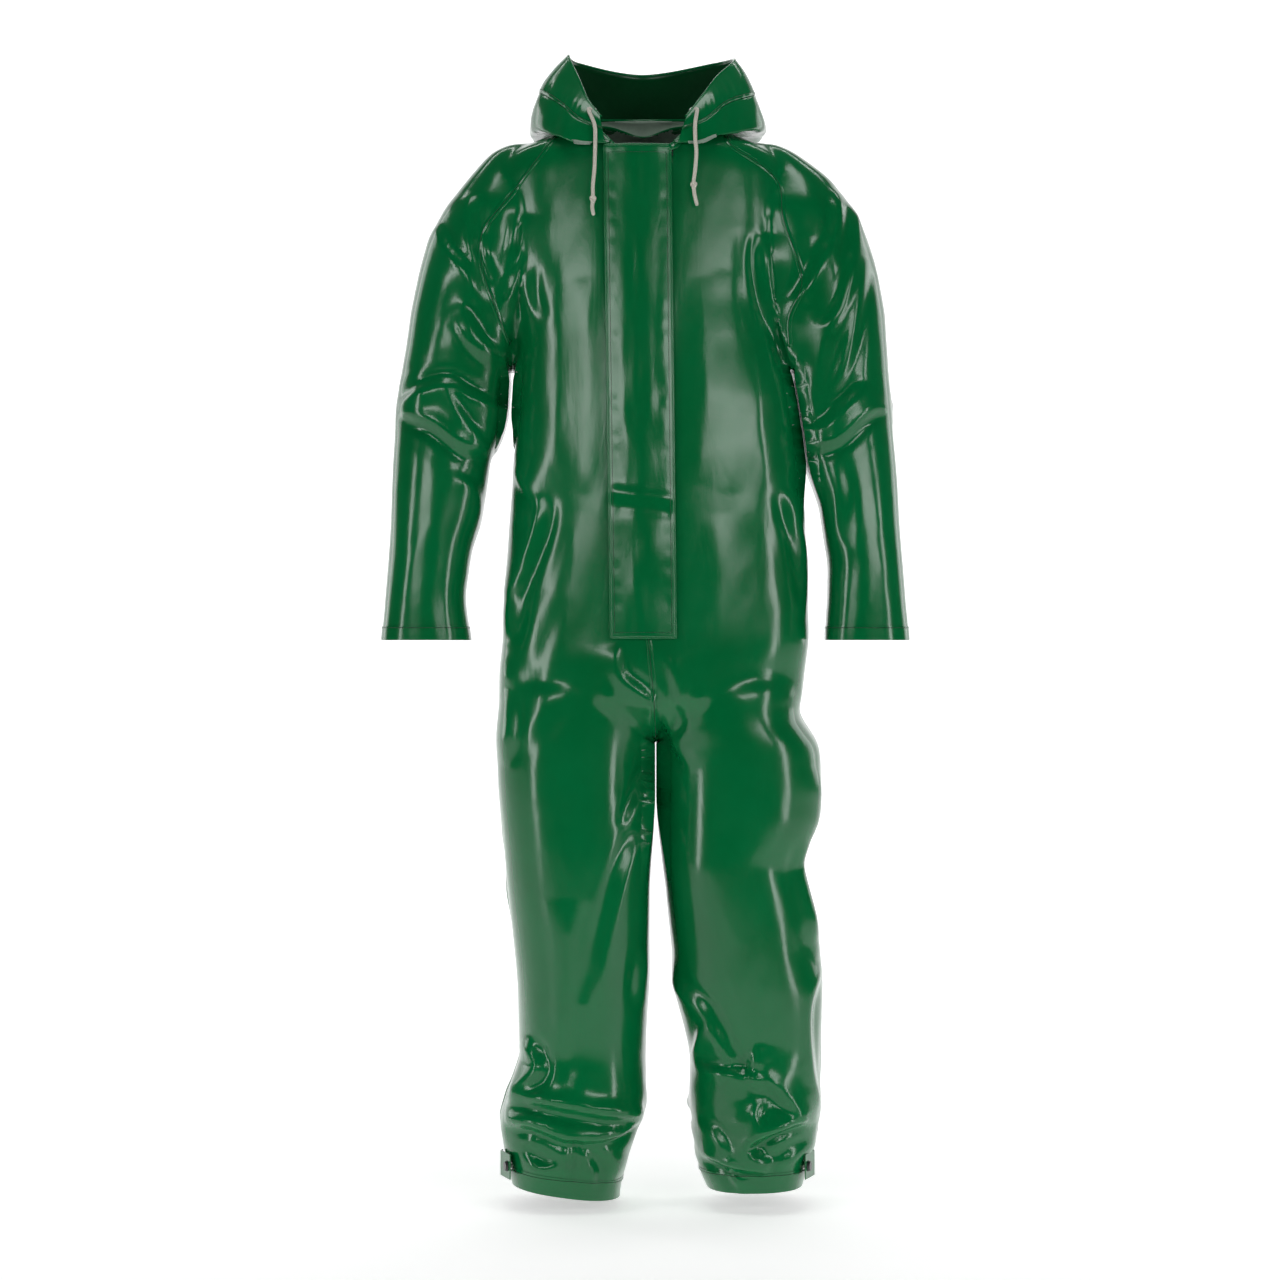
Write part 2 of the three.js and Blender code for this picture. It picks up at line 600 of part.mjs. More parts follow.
function addHood() {
  const everyColumn = Array.from({ length: hoodAcross + 1 }, (_, j) => hoodColumn(j / hoodAcross));
  const tallEnough = everyColumn.filter((column) => column.getLength() > hemBand.width + 6);
  const rows = Array.from({ length: hoodAlong + 1 }, (_, i) =>
    tallEnough.map((column) => {
      const top = hemStart(column) - 1.2 / column.getLength();
      return column.getPointAt((top * i) / hoodAlong).toArray();
    }),
  );
  const sheet = solidOf(thickSheet(rows, hoodCloth, false)).subtract(clearOfSuit).subtract(hemRoom());
  const reach = [-300, 300, -200, 300];
  const edge = crownHalf + seamGap / 2;
  piece("hood_side_left", geometryOf(sheet.intersect(block(edge, 300, ...reach))), cloth);
  piece("hood_side_right", geometryOf(sheet.intersect(block(-300, -edge, ...reach))), cloth);
  const crown = crownHalf - seamGap / 2;
  piece("hood_crown", geometryOf(sheet.intersect(block(-crown, crown, ...reach))), cloth);

  const stations = Array.from({ length: hoodAcross + 1 }, (_, i) => hemSection(i / hoodAcross));
  let hem = solidOf(thickSheet(stations, hemBand.cloth, false));
  for (const side of [1, -1]) {
    hem = hem.subtract(eyeletSolid(side, gap));
  }
  piece("hood_hem", geometryOf(hem.subtract(solidOf(cordRun(gap)))), cloth);
}

// The drawcord's run in the folded edge, between the eyelets.
function cordRun(grow = 0) {
  const ends = (eyeletStep + 0.5) / hoodAcross;
  const count = 24;
  const inside = Array.from({ length: count + 1 }, (_, i) => channelPoint(THREE.MathUtils.lerp(ends, 1 - ends, i / count)));
  return cordTube(inside, 34, cordRadius + grow);
}

// An eyelet, or with some grow the room it takes in the cloth with its bore filled.
function eyeletSolid(side, grow = 0) {
  const { centre, outward } = eyeletFrame(side);
  const half = hemBand.cloth / 2 + gap;
  const { inner, outer, thick } = eyelet;
  const bore = grow ? 0 : inner;
  const profile = [
    [bore, -half - 0.7 - grow], [inner + 2 + grow, -half - 0.7 - grow], [inner + 2 + grow, -half + grow],
    [inner + 1 + grow, -half + grow], [inner + 1 + grow, half - grow], [outer + grow, half - grow],
    [outer - 0.8 + grow, half + thick + grow], [bore, half + thick + grow],
  ];
  if (!grow) profile.push(profile[0]);
  const turned = new THREE.LatheGeometry(profile.map(([r, y]) => new THREE.Vector2(r, y)), 16);
  const middle = centre.clone().addScaledVector(outward, -hemBand.cloth / 2);
  return solidOf(alongAxis(turned, middle, outward));
}

function addEyelets() {
  for (const [side, name] of [[1, "left"], [-1, "right"]]) {
    piece(`eyelet_${name}`, geometryOf(eyeletSolid(side)), eyeletEnamel);
  }
}

// The free ends of the drawcord: x and z of a few places down each, of its knot, and of the tail under the knot.
const freeEnds = [
  { name: "left", side: 1, down: [[70, 26], [70, 6], [71.5, -14], [70, -36]], knot: [68, -58], tail: [[69, -70], [72.5, -85]] },
  { name: "right", side: -1, down: [[-65, 24], [-64, 6], [-65, -34], [-67, -56]], knot: [-67, -77], tail: [[-68, -88], [-66, -98]] },
];

function addCords() {
  piece("drawcord_run", cordRun(), cotton);
  const hang = ([x, z]) => new THREE.Vector3(x, cordHang.y - cordHang.lean * z * Math.sign(z), z);
  for (const end of freeEnds) {
    const { centre, outward } = eyeletFrame(end.side);
    const out = (distance) => centre.clone().addScaledVector(outward, distance);
    const top = hang(end.knot).add(new THREE.Vector3(0, 0, knot.height + gap));
    const path = [out(-1.2), out(6), out(10).add(new THREE.Vector3(0, 0, -4)), ...end.down.map(hang), top];
    piece(`drawcord_${end.name}`, cordTube(path, 16), cotton);
    const lump = new THREE.SphereGeometry(knot.radius, 14, 10).scale(1, 0.85, knot.height / knot.radius);
    lump.translate(...hang(end.knot).toArray());
    const tail = cordTube([hang(end.knot), ...end.tail.map(hang)], 5);
    piece(`drawcord_knot_${end.name}`, geometryOf(solidOf(lump).add(solidOf(tail))), cotton);
  }
}

// ---- Binding of the neck seam, a strip just inside the opening, open at the throat ----
function addBinding() {
  const start = 0.3;
  const points = Array.from({ length: 25 }, (_, i) => {
    const angle = -Math.PI / 2 + start + ((2 * Math.PI - 2 * start) * i) / 24;
    const x = (neck.halfWidth - 3) * Math.cos(angle);
    const y = neck.middleY + (neck.halfDepth - 3) * Math.sin(angle);
    return new THREE.Vector3(x, y, neckHeight(angle));
  });
  const strip = points.map((p) => [[p.x, p.y, p.z - 5], [p.x, p.y, p.z + 5]]);
  piece("neck_binding", thickSheet(strip, 1.4, true), lining);
}

// The height of the neck seam by the angle round the opening.
function neckHeight(angle) {
  const back = (Math.sin(angle) + 1) / 2;
  return THREE.MathUtils.lerp(8, 54, back ** 0.8);
}

// ---- Ankle take-ups: a folded pleat of cloth, sewn at its back edge and closed by a snap at its front ----
function addAnkles() {
  for (const [side, name] of [[1, "left"], [-1, "right"]]) {
    const z = hemZ + takeUp.centre;
    const section = sectionAt(legSections, z);
    const power = 2 / roundness;
    const depth = (section.back - section.front) / 2;
    const middleY = (section.front + section.back) / 2;
    const [c, s] = [Math.cos(takeUp.turn), Math.sin(takeUp.turn)];
    const normal = new THREE.Vector2(c ** (2 - power) / section.a, -(s ** (2 - power)) / depth);
    const ankle = new THREE.Group();
    ankle.position.set(side * (section.x + section.a * c ** power) + sway(z), middleY - depth * s ** power, z);
    ankle.rotation.z = Math.atan2(normal.y, side * normal.x);
    suit.add(ankle);
    const forwards = (y) => -side * y;
    const { reach, height, standoff, clothThick, sewn } = takeUp;
    const line = [
      [gap, -reach / 2], [standoff, -reach / 2 + sewn], [standoff, reach / 2],
      [standoff + clothThick, reach / 2], [standoff + clothThick, -reach / 2 + sewn], [gap + clothThick, -reach / 2],
    ];
    const outline = new THREE.Shape(line.map(([x, y]) => new THREE.Vector2(x, forwards(y))));
    const fold = new THREE.ExtrudeGeometry(outline, { depth: height, bevelEnabled: false });
    ankle.updateMatrix();
    fold.translate(0, 0, -height / 2).applyMatrix4(ankle.matrix);
    piece(`ankle_pleat_${name}`, geometryOf(solidOf(fold).subtract(clearOfSuit)), cloth);
    const snapY = reach / 2 - snap.capRadius - 4.5;
    const button = (label, x, radius, thick, material) => {
      const disc = new THREE.CylinderGeometry(radius * 0.8, radius, thick, 14).rotateZ(-Math.PI / 2);
      piece(`${label}_${name}`, disc.translate(x + thick / 2, forwards(snapY), 0), material, ankle);
    };
    button("snap_cap", standoff + clothThick + gap, snap.capRadius, snap.capThick, blackEnamel);
    button("snap_socket", standoff - gap - snap.socketThick, snap.studRadius, snap.socketThick, steel);
    button("snap_stud", gap, snap.studRadius, snap.studThick, steel);
  }
}

addBodyPanels();
addSleeves();
addHems();
addFlap();
addZip();
addSlider();
addHood();
addEyelets();
addCords();
addBinding();
addAnkles();

export default suit;
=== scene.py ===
import math

import bmesh
import bpy
import numpy as np
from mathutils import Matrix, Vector, noise
from mathutils.bvhtree import BVHTree


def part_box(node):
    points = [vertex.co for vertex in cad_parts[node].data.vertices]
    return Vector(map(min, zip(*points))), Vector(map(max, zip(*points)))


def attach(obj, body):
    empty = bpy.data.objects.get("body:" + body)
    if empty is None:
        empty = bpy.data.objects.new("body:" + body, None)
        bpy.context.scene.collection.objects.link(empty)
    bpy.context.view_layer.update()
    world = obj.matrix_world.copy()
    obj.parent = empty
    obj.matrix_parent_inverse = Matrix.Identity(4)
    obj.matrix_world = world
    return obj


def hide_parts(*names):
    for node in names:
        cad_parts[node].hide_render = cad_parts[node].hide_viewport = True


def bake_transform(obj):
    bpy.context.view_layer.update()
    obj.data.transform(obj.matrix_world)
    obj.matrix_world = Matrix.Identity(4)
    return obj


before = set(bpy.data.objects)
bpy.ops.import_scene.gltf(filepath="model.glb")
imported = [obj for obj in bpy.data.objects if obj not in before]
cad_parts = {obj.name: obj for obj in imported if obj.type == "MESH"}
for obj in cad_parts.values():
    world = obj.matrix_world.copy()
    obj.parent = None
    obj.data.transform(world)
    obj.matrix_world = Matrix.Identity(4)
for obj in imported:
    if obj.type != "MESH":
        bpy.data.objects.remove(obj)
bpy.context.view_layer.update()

MM = 0.001
scene = bpy.context.scene


# ---------------------------------------------------------------- camera

camera_data = bpy.data.cameras.new("camera")
camera_data.sensor_width = 36
camera_data.lens = 92.9
camera = bpy.data.objects.new("camera", camera_data)
camera.location = (-0.004, -4.55, -0.667)
camera.rotation_euler = (math.pi / 2, 0, 0)
scene.collection.objects.link(camera)
scene.camera = camera
scene.view_settings.view_transform = "Standard"


# ---------------------------------------------------------------- small tools


def smoothstep(low, high, value):
    t = np.clip((np.asarray(value, float) - low) / (high - low), 0, 1)
    return t * t * (3 - 2 * t)


def new_object(name, verts, faces, materials, indices=None, smooth=True):
    mesh = bpy.data.meshes.new(name)
    mesh.from_pydata([tuple(v) for v in verts], [], [tuple(int(i) for i in f) for f in faces])
    for m in materials:
        mesh.materials.append(m)
    if indices is not None:
        mesh.polygons.foreach_set("material_index", np.asarray(indices, np.int32))
    mesh.polygons.foreach_set("use_smooth", np.full(len(mesh.polygons), smooth))
    mesh.update()
    obj = bpy.data.objects.new(name, mesh)
    scene.collection.objects.link(obj)
    return obj


def catmull(points, steps):
    """A smooth line through the points, with that many steps between each two."""
    p = np.asarray(points, float)
    p = np.vstack([2 * p[0] - p[1], p, 2 * p[-1] - p[-2]])
    out = []
    for i in range(1, len(p) - 2):
        for k in range(steps):
            t = k / steps
            out.append(0.5 * (2 * p[i] + (p[i + 1] - p[i - 1]) * t
                              + (2 * p[i - 1] - 5 * p[i] + 4 * p[i + 1] - p[i + 2]) * t * t
                              + (3 * p[i] - p[i - 1] - 3 * p[i + 1] + p[i + 2]) * t ** 3))
    out.append(p[-2])
    return np.array(out)


def spaced(points, step):
    """The same line with its points an even step apart."""
    p = np.asarray(points, float)
    lengths = run_of(p)
    count = max(2, int(round(lengths[-1] / step)) + 1)
    s = np.linspace(0, lengths[-1], count)
    return np.column_stack([np.interp(s, lengths, p[:, k]) for k in range(p.shape[1])])


def tangents(points):
    """The direction of a line at each of its points."""
    d = np.gradient(points, axis=0)
    return d / np.maximum(np.linalg.norm(d, axis=1, keepdims=True), 1e-12)


def run_of(points):
    """How far along its line each point lies."""
    return np.concatenate([[0], np.cumsum(np.linalg.norm(np.diff(points, axis=0), axis=1))])


def ring_faces(rings, count, first=0, flip=False, closed=False):
    """The four-sided faces between rings of points."""
    faces = []
    for i in range(rings if closed else rings - 1):
        low, high = first + i * count, first + (i + 1) % rings * count
        for k in range(count):
            a, b, c, d = low + k, low + (k + 1) % count, high + (k + 1) % count, high + k
            faces.append((a, d, c, b) if flip else (a, b, c, d))
    return faces


def unit(vectors):
    return vectors / np.maximum(np.linalg.norm(vectors, axis=-1, keepdims=True), 1e-12)


def wear(piece, body, *nodes, slot="coated_cloth"):
    """The piece moves with a body, or stays fixed where it is when given two, and stands for the CAD nodes named.
    """
    if isinstance(body, str):
        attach(piece, body)
    else:
        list(body)
        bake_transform(piece)
    if nodes:
        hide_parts(*nodes)


# ---------------------------------------------------------------- materials


def nodes_of(name):
    m = bpy.data.materials.new(name)
    m.use_nodes = True
    tree = m.node_tree
    return m, tree, tree.nodes["Principled BSDF"]


def fill(node, values):
    """Sets a node's sockets, and its other properties, by name."""
    for key, value in values.items():
        if key in node.inputs:
            node.inputs[key].default_value = value
        else:
            setattr(node, key, value)
    return node


def add(tree, kind, **values):
    return fill(tree.nodes.new(kind), values)


def place(tree, stretch=(1, 1, 1)):
    where = add(tree, "ShaderNodeTexCoord")
    mapping = add(tree, "ShaderNodeMapping", Scale=stretch)
    tree.links.new(where.outputs["Object"], mapping.inputs["Vector"])
    return mapping.outputs["Vector"]


def noise_node(tree, vector, scale, detail=3, rough=0.55, distortion=0.0):
    n = add(tree, "ShaderNodeTexNoise", Scale=scale, Detail=detail, Roughness=rough, Distortion=distortion)
    tree.links.new(vector, n.inputs["Vector"])
    return n.outputs["Fac"]


def colours(tree, fac, low, high, start=0.3, end=0.7):
    ramp = add(tree, "ShaderNodeValToRGB")
    ramp.color_ramp.elements[0].position, ramp.color_ramp.elements[0].color = start, (*low, 1)
    ramp.color_ramp.elements[1].position, ramp.color_ramp.elements[1].color = end, (*high, 1)
    tree.links.new(fac, ramp.inputs["Fac"])
    return ramp.outputs["Color"]


def spread(tree, fac, low, high):
    m = add(tree, "ShaderNodeMapRange", **{"From Min": 0.3, "From Max": 0.7, "To Min": low, "To Max": high})
    tree.links.new(fac, m.inputs["Value"])
    return m.outputs["Result"]


def crossing(tree, vectors, directions, operation, **settings):
    """Two sets of parallel threads, joined by an operation."""
    both = add(tree, "ShaderNodeMath", operation=operation)
    for k, (vector, direction) in enumerate(zip(vectors, directions)):
        wave = add(tree, "ShaderNodeTexWave", bands_direction=direction, **settings)
        tree.links.new(vector, wave.inputs["Vector"])
        tree.links.new(wave.outputs["Fac"], both.inputs[k])
    return both.outputs[0]


def bumps(tree, shader, layers):
    """Bump layers, each (height, strength, distance in metres), one on the other."""
    before = None
    for height, strength, distance in layers:
        b = add(tree, "ShaderNodeBump", Strength=strength, Distance=distance)
        tree.links.new(height, b.inputs["Height"])
        if before is not None:
            tree.links.new(before, b.inputs["Normal"])
        before = b.outputs["Normal"]
    tree.links.new(before, shader.inputs["Normal"])


def coated_cloth(name, low, high, rough=(0.15, 0.21), coat=0.08):
    """Glossy coated cloth: an even colour, a faint woven base showing through, and small crinkles."""
    m, t, s = nodes_of(name)
    v = place(t)
    t.links.new(colours(t, noise_node(t, v, 7, 4, 0.6), low, high), s.inputs["Base Color"])
    t.links.new(spread(t, noise_node(t, v, 16, 4, 0.6), *rough), s.inputs["Roughness"])
    fill(s, {"IOR": 1.47, "Coat Weight": coat, "Coat Roughness": 0.12})
    weave = crossing(t, (v, v), "XZ", "MULTIPLY", Scale=520, Distortion=0.6, Detail=1.0)
    streaks = place(t, (1, 1, 0.24))
    bumps(t, s, [
        (noise_node(t, streaks, 34, 4, 0.55, 0.6), 0.22, 0.0018),
        (noise_node(t, v, 900, 2, 0.5), 0.06, 0.0002),
        (weave, 0.05, 0.0001),
    ])
    return m


def woven(name, low, high, scale, rough=0.85, sheen=0.25):
    """Matt woven cloth, with crossing threads."""
    m, t, s = nodes_of(name)
    v = place(t)
    weave = crossing(t, (v, v), "XZ", "ADD", Scale=scale, Distortion=1.2, Detail=2.0)
    t.links.new(colours(t, noise_node(t, v, 60, 5, 0.65), low, high), s.inputs["Base Color"])
    fill(s, {"Roughness": rough, "Sheen Weight": sheen, "Sheen Roughness": 0.5})
    bumps(t, s, [(weave, 0.35, 0.0003), (noise_node(t, v, 1500, 2), 0.2, 0.0001)])
    return m


def braided(name, low, high):
    """Soft braided cotton, with slanting strands; its colour is paler on the strands and darker between them,
    painted shade in the grooves.
    """
    m, t, s = nodes_of(name)
    v = place(t)
    strands = crossing(t, (v, place(t, (-1, 1, 1))), ("DIAGONAL", "DIAGONAL"), "MAXIMUM",
                       Scale=330, Distortion=2.0, Detail=2.0)
    # The colour follows the strands' height: painted shade in the grooves between them.
    t.links.new(colours(t, strands, low, high, 0.25, 0.8), s.inputs["Base Color"])
    fill(s, {"Roughness": 0.9, "Sheen Weight": 0.3})
    bumps(t, s, [(strands, 0.7, 0.0007), (noise_node(t, v, 1800, 2), 0.3, 0.0002)])
    return m


def hard(name, low, high, rough, metal=0.0, coat=0.0, wear=0.08):
    """Metal or enamel, with small scratches and uneven shine."""
    m, t, s = nodes_of(name)
    v = place(t)
    t.links.new(colours(t, noise_node(t, v, 180, 4, 0.6), low, high), s.inputs["Base Color"])
    t.links.new(spread(t, noise_node(t, v, 400, 5, 0.7), rough, rough + wear * 2), s.inputs["Roughness"])
    fill(s, {"Metallic": metal, "Coat Weight": coat})
    bumps(t, s, [(noise_node(t, place(t, (1, 1, 6)), 700, 3), 0.12, 0.0001)])
    return m


GREEN = coated_cloth("coated_cloth", (0.0, 0.132, 0.034), (0.0004, 0.158, 0.045))
# A darker, rougher copy of the coated cloth for the inner faces of the turned hems and the hood's band: its darker
# colour is painted shade.
GREEN_PAINTED_SHADE = coated_cloth("coated_cloth_painted_shade", (0.0, 0.098, 0.024), (0.0006, 0.118, 0.033), (0.28, 0.38), 0.1)
INNER = woven("cloth_inner_face", (0.22, 0.31, 0.24), (0.30, 0.40, 0.32), 420)
THREAD = woven("sewing_thread", (0.002, 0.07, 0.02), (0.006, 0.12, 0.04), 900, 0.6, 0.1)
HOOK = woven("hook_and_loop", (0.004, 0.05, 0.02), (0.01, 0.09, 0.04), 700, 0.95, 0.5)
TAPE = woven("zip_tape", (0.003, 0.05, 0.018), (0.006, 0.085, 0.03), 620, 0.8, 0.2)
TEETH = hard("zip_teeth", (0.004, 0.06, 0.02), (0.008, 0.1, 0.035), 0.3, 0.0, 0.2)
STEEL = hard("steel", (0.52, 0.52, 0.5), (0.66, 0.66, 0.64), 0.22, 1.0)
SNAP = hard("snap_enamel", (0.006, 0.007, 0.007), (0.018, 0.02, 0.02), 0.3, 0.2, 0.4)
EYELET = hard("eyelet_enamel", (0.42, 0.47, 0.42), (0.58, 0.62, 0.57), 0.3, 0.3, 0.4)
# The cord's darker colour is the painted shade between its strands.
COTTON = braided("cotton_cord", (0.50, 0.46, 0.36), (0.83, 0.80, 0.70))


# ---------------------------------------------------------------- drawcords

CORD_RADIUS = 2.7


def tube(name, points, radius, materials, sides=12, taper=None, strands=0, twist=0.0):
    """A round tube along a line in millimetres, with raised strands if asked."""
    p = np.asarray(points, float)
    tangent = tangents(p)
    side = np.cross(tangent[0], (0.0, 1.0, 0.0))
    side /= np.linalg.norm(side)
    verts = []
    along = run_of(p)
    width = np.full(len(p), radius) if taper is None else radius * taper
    for i in range(len(p)):
        side = side - tangent[i] * side.dot(tangent[i])
        side /= np.linalg.norm(side)
        other = np.cross(tangent[i], side)
        for k in range(sides):
            a = 2 * math.pi * k / sides
            lift = 1.0
            if strands:
                lift += 0.07 * math.sin(strands * a + twist * along[i]) * math.sin(strands * a - twist * along[i])
            verts.append((p[i] + (side * math.cos(a) + other * math.sin(a)) * width[i] * lift) * MM)
    faces = ring_faces(len(p), sides)
    for end, order in ((0, -1), (len(p) - 1, 1)):
        verts.append((p[end] + tangent[end] * width[end] * 0.35 * (1 if end else -1)) * MM)
        last = len(verts) - 1
        for k in range(sides):
            a, b = end * sides + k, end * sides + (k + 1) % sides
            faces.append((a, b, last) if order > 0 else (b, a, last))
    return new_object(name, verts, faces, materials)


def hang(x, z):
    return (x, -123 - 0.045 * abs(z), z)


def knot(name, centre, size, radius, materials):
    """An overhand knot, pulled tight."""
    pts = []
    for t in np.linspace(0, 2 * math.pi, 90, endpoint=False):
        x = math.sin(t) + 1.75 * math.sin(2 * t)
        y = -math.sin(3 * t)
        z = math.cos(t) - 1.75 * math.cos(2 * t)
        pts.append(np.array(centre) + np.array([x * size[0], y * size[1], z * size[2]]))
    pts.append(pts[0])
    return tube(name, pts, radius, materials, 10, None, 4, 0.9)


# Each cord's points (x, z) below its eyelet, its knot's middle, and the end beyond the knot.
CORDS = {
    "left": {"down": [(70, 26), (70, 6), (71.5, -14), (70, -36)], "knot": (68, -58),
             "tail": [(69, -70), (72.5, -85)]},
    "right": {"down": [(-65, 24), (-64, 6), (-65, -34), (-67, -56)], "knot": (-67, -77),
              "tail": [(-68, -88), (-66, -98)]},
}
for side_name, cord in CORDS.items():
    low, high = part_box("eyelet_" + side_name)
    sign = 1 if side_name == "left" else -1
    middle = np.array((low + high) / 2) / MM
    outward = np.array([sign * 0.45, -0.80, 0.40])
    outward /= np.linalg.norm(outward)
    start = middle - 1.2 * outward
    kx, kz = cord["knot"]
    points = [start, middle + 6 * outward, middle + 10 * outward + np.array([0, 0, -4])]
    points += [hang(x, z) for x, z in cord["down"]]
    points += [hang(kx, kz + 7), hang(kx, kz)] + [hang(x, z) for x, z in cord["tail"]]
    line = spaced(catmull(points, 8), 2.0)
    taper = np.ones(len(line))
    taper[-3:] = (0.98, 0.9, 0.72)
    body = tube("drawcord_braid_" + side_name, line, CORD_RADIUS * 0.93, [COTTON], 16, taper, 4, 0.85)
    tied = knot("drawcord_overhand_" + side_name, hang(kx, kz), (1.15, 1.5, 1.7), 1.9, [COTTON])
    wear(body, "suit", "drawcord_" + side_name, slot="cotton_cord")
    wear(tied, "suit", "drawcord_knot_" + side_name, slot="cotton_cord")


# ---------------------------------------------------------------- the coverall's form, in millimetres

ROUNDNESS = 2.3
TORSO_ROUNDNESS = 2.6
VOXEL = 0.0048

# z, middle x, half width
TORSO_WIDTH = [
    (56, 0, 52), (42, 0, 82), (28, 0, 116), (14, 0, 152), (-2, 0, 188), (-25, 0, 205), (-70, 1, 206),
    (-210, 5, 189), (-270, 12, 190), (-340, 21, 200), (-385, 21, 201), (-463, 22, 204), (-500, 22, 205),
    (-545, 20, 205), (-606, 19, 209), (-667, 20, 213), (-708, 13, 211), (-750, 10, 209), (-785, 14, 190),
    (-806, 14, 118),
]
# z, front y, back y
TORSO_DEPTH = [
    (56, -22, 78), (42, -62, 86), (28, -90, 92), (14, -105, 96), (-2, -112.8, 99), (-25, -113.5, 106),
    (-70, -115, 113), (-210, -119.6, 126), (-385, -125.4, 118), (-500, -129.2, 112), (-690, -135.5, 126),
    (-750, -130, 124), (-785, -95, 92), (-806, -45, 45),
]
ARM_DEPTH = [
    (14, -28, 34), (5, -48, 56), (-75, -88, 94), (-157, -94, 92), (-260, -91, 82), (-320, -88, 74),
    (-385, -87, 64), (-443, -88, 54), (-504, -91, 45), (-610, -96, 32), (-667, -98, 28), (-700, -99, 27),
]
ARM_RIGHT = [
    (14, -158, 26), (5, -165, 42), (-34, -183, 59), (-75, -198, 76), (-116, -213, 83), (-157, -222, 85),
    (-218, -236, 83), (-259, -245, 79), (-300, -254, 77), (-320, -259, 76), (-350, -262, 77), (-381, -263.5, 76.5),
    (-422, -274, 68), (-463, -279, 65), (-504, -283, 62), (-545, -290, 57), (-606, -296.8, 54.8),
    (-627, -296.5, 56.5), (-667, -295.5, 61.5), (-700, -295, 64),
]
ARM_LEFT = [
    (14, 158, 26), (5, 165, 42), (-34, 196, 63), (-75, 207, 82), (-116, 222, 86), (-157, 233, 88),
    (-218, 246, 86), (-259, 254, 81), (-300, 260, 78), (-340, 264, 78), (-381, 270, 73), (-422, 277, 69),
    (-463, 288, 61), (-483, 292, 58), (-504, 295.5, 55.5), (-545, 301, 53), (-565, 303.7, 51.8),
    (-606, 303.7, 54.7), (-667, 303, 61), (-700, 303, 63),
]
LEG_DEPTH = [
    (-655, -96, 92), (-740, -126, 120), (-800, -126, 120), (-860, -124, 118), (-950, -122, 114),
    (-1140, -112, 114), (-1220, -106, 114), (-1315, -110, 108), (-1345, -104, 102), (-1365, -98, 97),
    (-1423, -90, 92), (-1470, -88, 90),
]
LEG_RIGHT = [
    (-655, -75, 84), (-740, -89, 107), (-800, -95, 107), (-831, -95, 105.5), (-870, -94, 104.5), (-913, -90, 105),
    (-953, -87, 104), (-994, -84.5, 103.5), (-1096, -81, 96), (-1137, -81, 92), (-1199, -82, 88.5),
    (-1239, -82, 87), (-1280, -88, 94.6), (-1301, -92, 100), (-1321, -97, 99.5), (-1342, -101, 95),
    (-1362, -104, 88), (-1382, -106, 83), (-1403, -105, 77), (-1423, -105, 73), (-1470, -105, 71),
]
LEG_LEFT = [
    (-655, 105, 84), (-708, 115, 104), (-740, 118, 100), (-770, 118, 96), (-790, 125, 104), (-810, 134, 108),
    (-831, 136, 109), (-870, 137, 108), (-913, 135, 107), (-953, 127.5, 99), (-974, 123, 95), (-1015, 130, 99),
    (-1055, 137, 101.5), (-1096, 142, 102), (-1137, 144, 104), (-1199, 151, 95), (-1239, 155, 90),
    (-1280, 154, 90), (-1321, 155, 88.5), (-1362, 154, 83), (-1382, 152, 77), (-1403, 152, 70),
    (-1423, 155, 62), (-1470, 156, 60),
]
# The line between body and sleeve, from the neck to the armpit and on down between the two: z, x.
SEAM_RIGHT = [
    (110, -88), (40, -100), (14, -118), (-3, -131), (-71, -184), (-114, -216), (-157, -219), (-213, -202),
    (-264, -181), (-304, -179), (-350, -182), (-381, -184), (-420, -193), (-500, -200), (-600, -213), (-740, -216),
]
SEAM_LEFT = [
    (110, 88), (40, 100), (14, 112), (-3, 122), (-43, 181), (-100, 190), (-179, 215), (-230, 198), (-270, 198),
    (-320, 206), (-381, 217), (-440, 225), (-483, 231), (-545, 236), (-606, 239), (-740, 239),
]


def by_z(table, z, column=1):
    t = sorted(table)
    return np.interp(z, [r[0] for r in t], [r[column] for r in t])


def soft_by_z(table, z, column, blur):
    """The table's value at z, rounded over a short way so that no section makes a ridge."""
    offsets = np.linspace(-2, 2, 9)
    weights = np.exp(-offsets ** 2)
    return sum(w * by_z(table, np.asarray(z) + o * blur, column) for o, w in zip(offsets, weights)) / weights.sum()


def loft(width, depth, top, bottom, count, keep=None, blur=7.0, step=7.0, power=ROUNDNESS):
    """A closed tube of rounded rings. keep(x, z) may hold the ring's points to one side of a line."""
    levels = np.arange(top, bottom - 0.01, -step)
    verts = []
    t = np.linspace(0, 2 * math.pi, count, endpoint=False)
    c, s = np.cos(t), np.sin(t)
    c = np.sign(c) * np.abs(c) ** (2 / power)
    s = np.sign(s) * np.abs(s) ** (2 / power)
    for z in levels:
        near_end = min(blur, max(1.0, (top - z) / 2 + 1))
        mid, half = soft_by_z(width, z, 1, near_end), soft_by_z(width, z, 2, near_end)
        front, back = soft_by_z(depth, z, 1, near_end), soft_by_z(depth, z, 2, near_end)
        x = mid + half * c
        y = (front + back) / 2 + (back - front) / 2 * s
        if keep is not None:
            x = keep(x, z)
        verts += [(a, b, z) for a, b in zip(x, y)]
    rings = len(levels)
    faces = ring_faces(rings, count, flip=True)
    faces.append(tuple(range(count)))
    faces.append(tuple(reversed(range((rings - 1) * count, rings * count))))
    return np.array(verts) * MM, faces


def apart(z):
    """0 where sleeve and body are one, 1 where they hang side by side."""
    return float(smoothstep(-252, -305, z)) if z < -252 else 0.0


def below(x, limit, soft=6.0):
    return limit - soft * np.logaddexp(0, (limit - x) / soft)


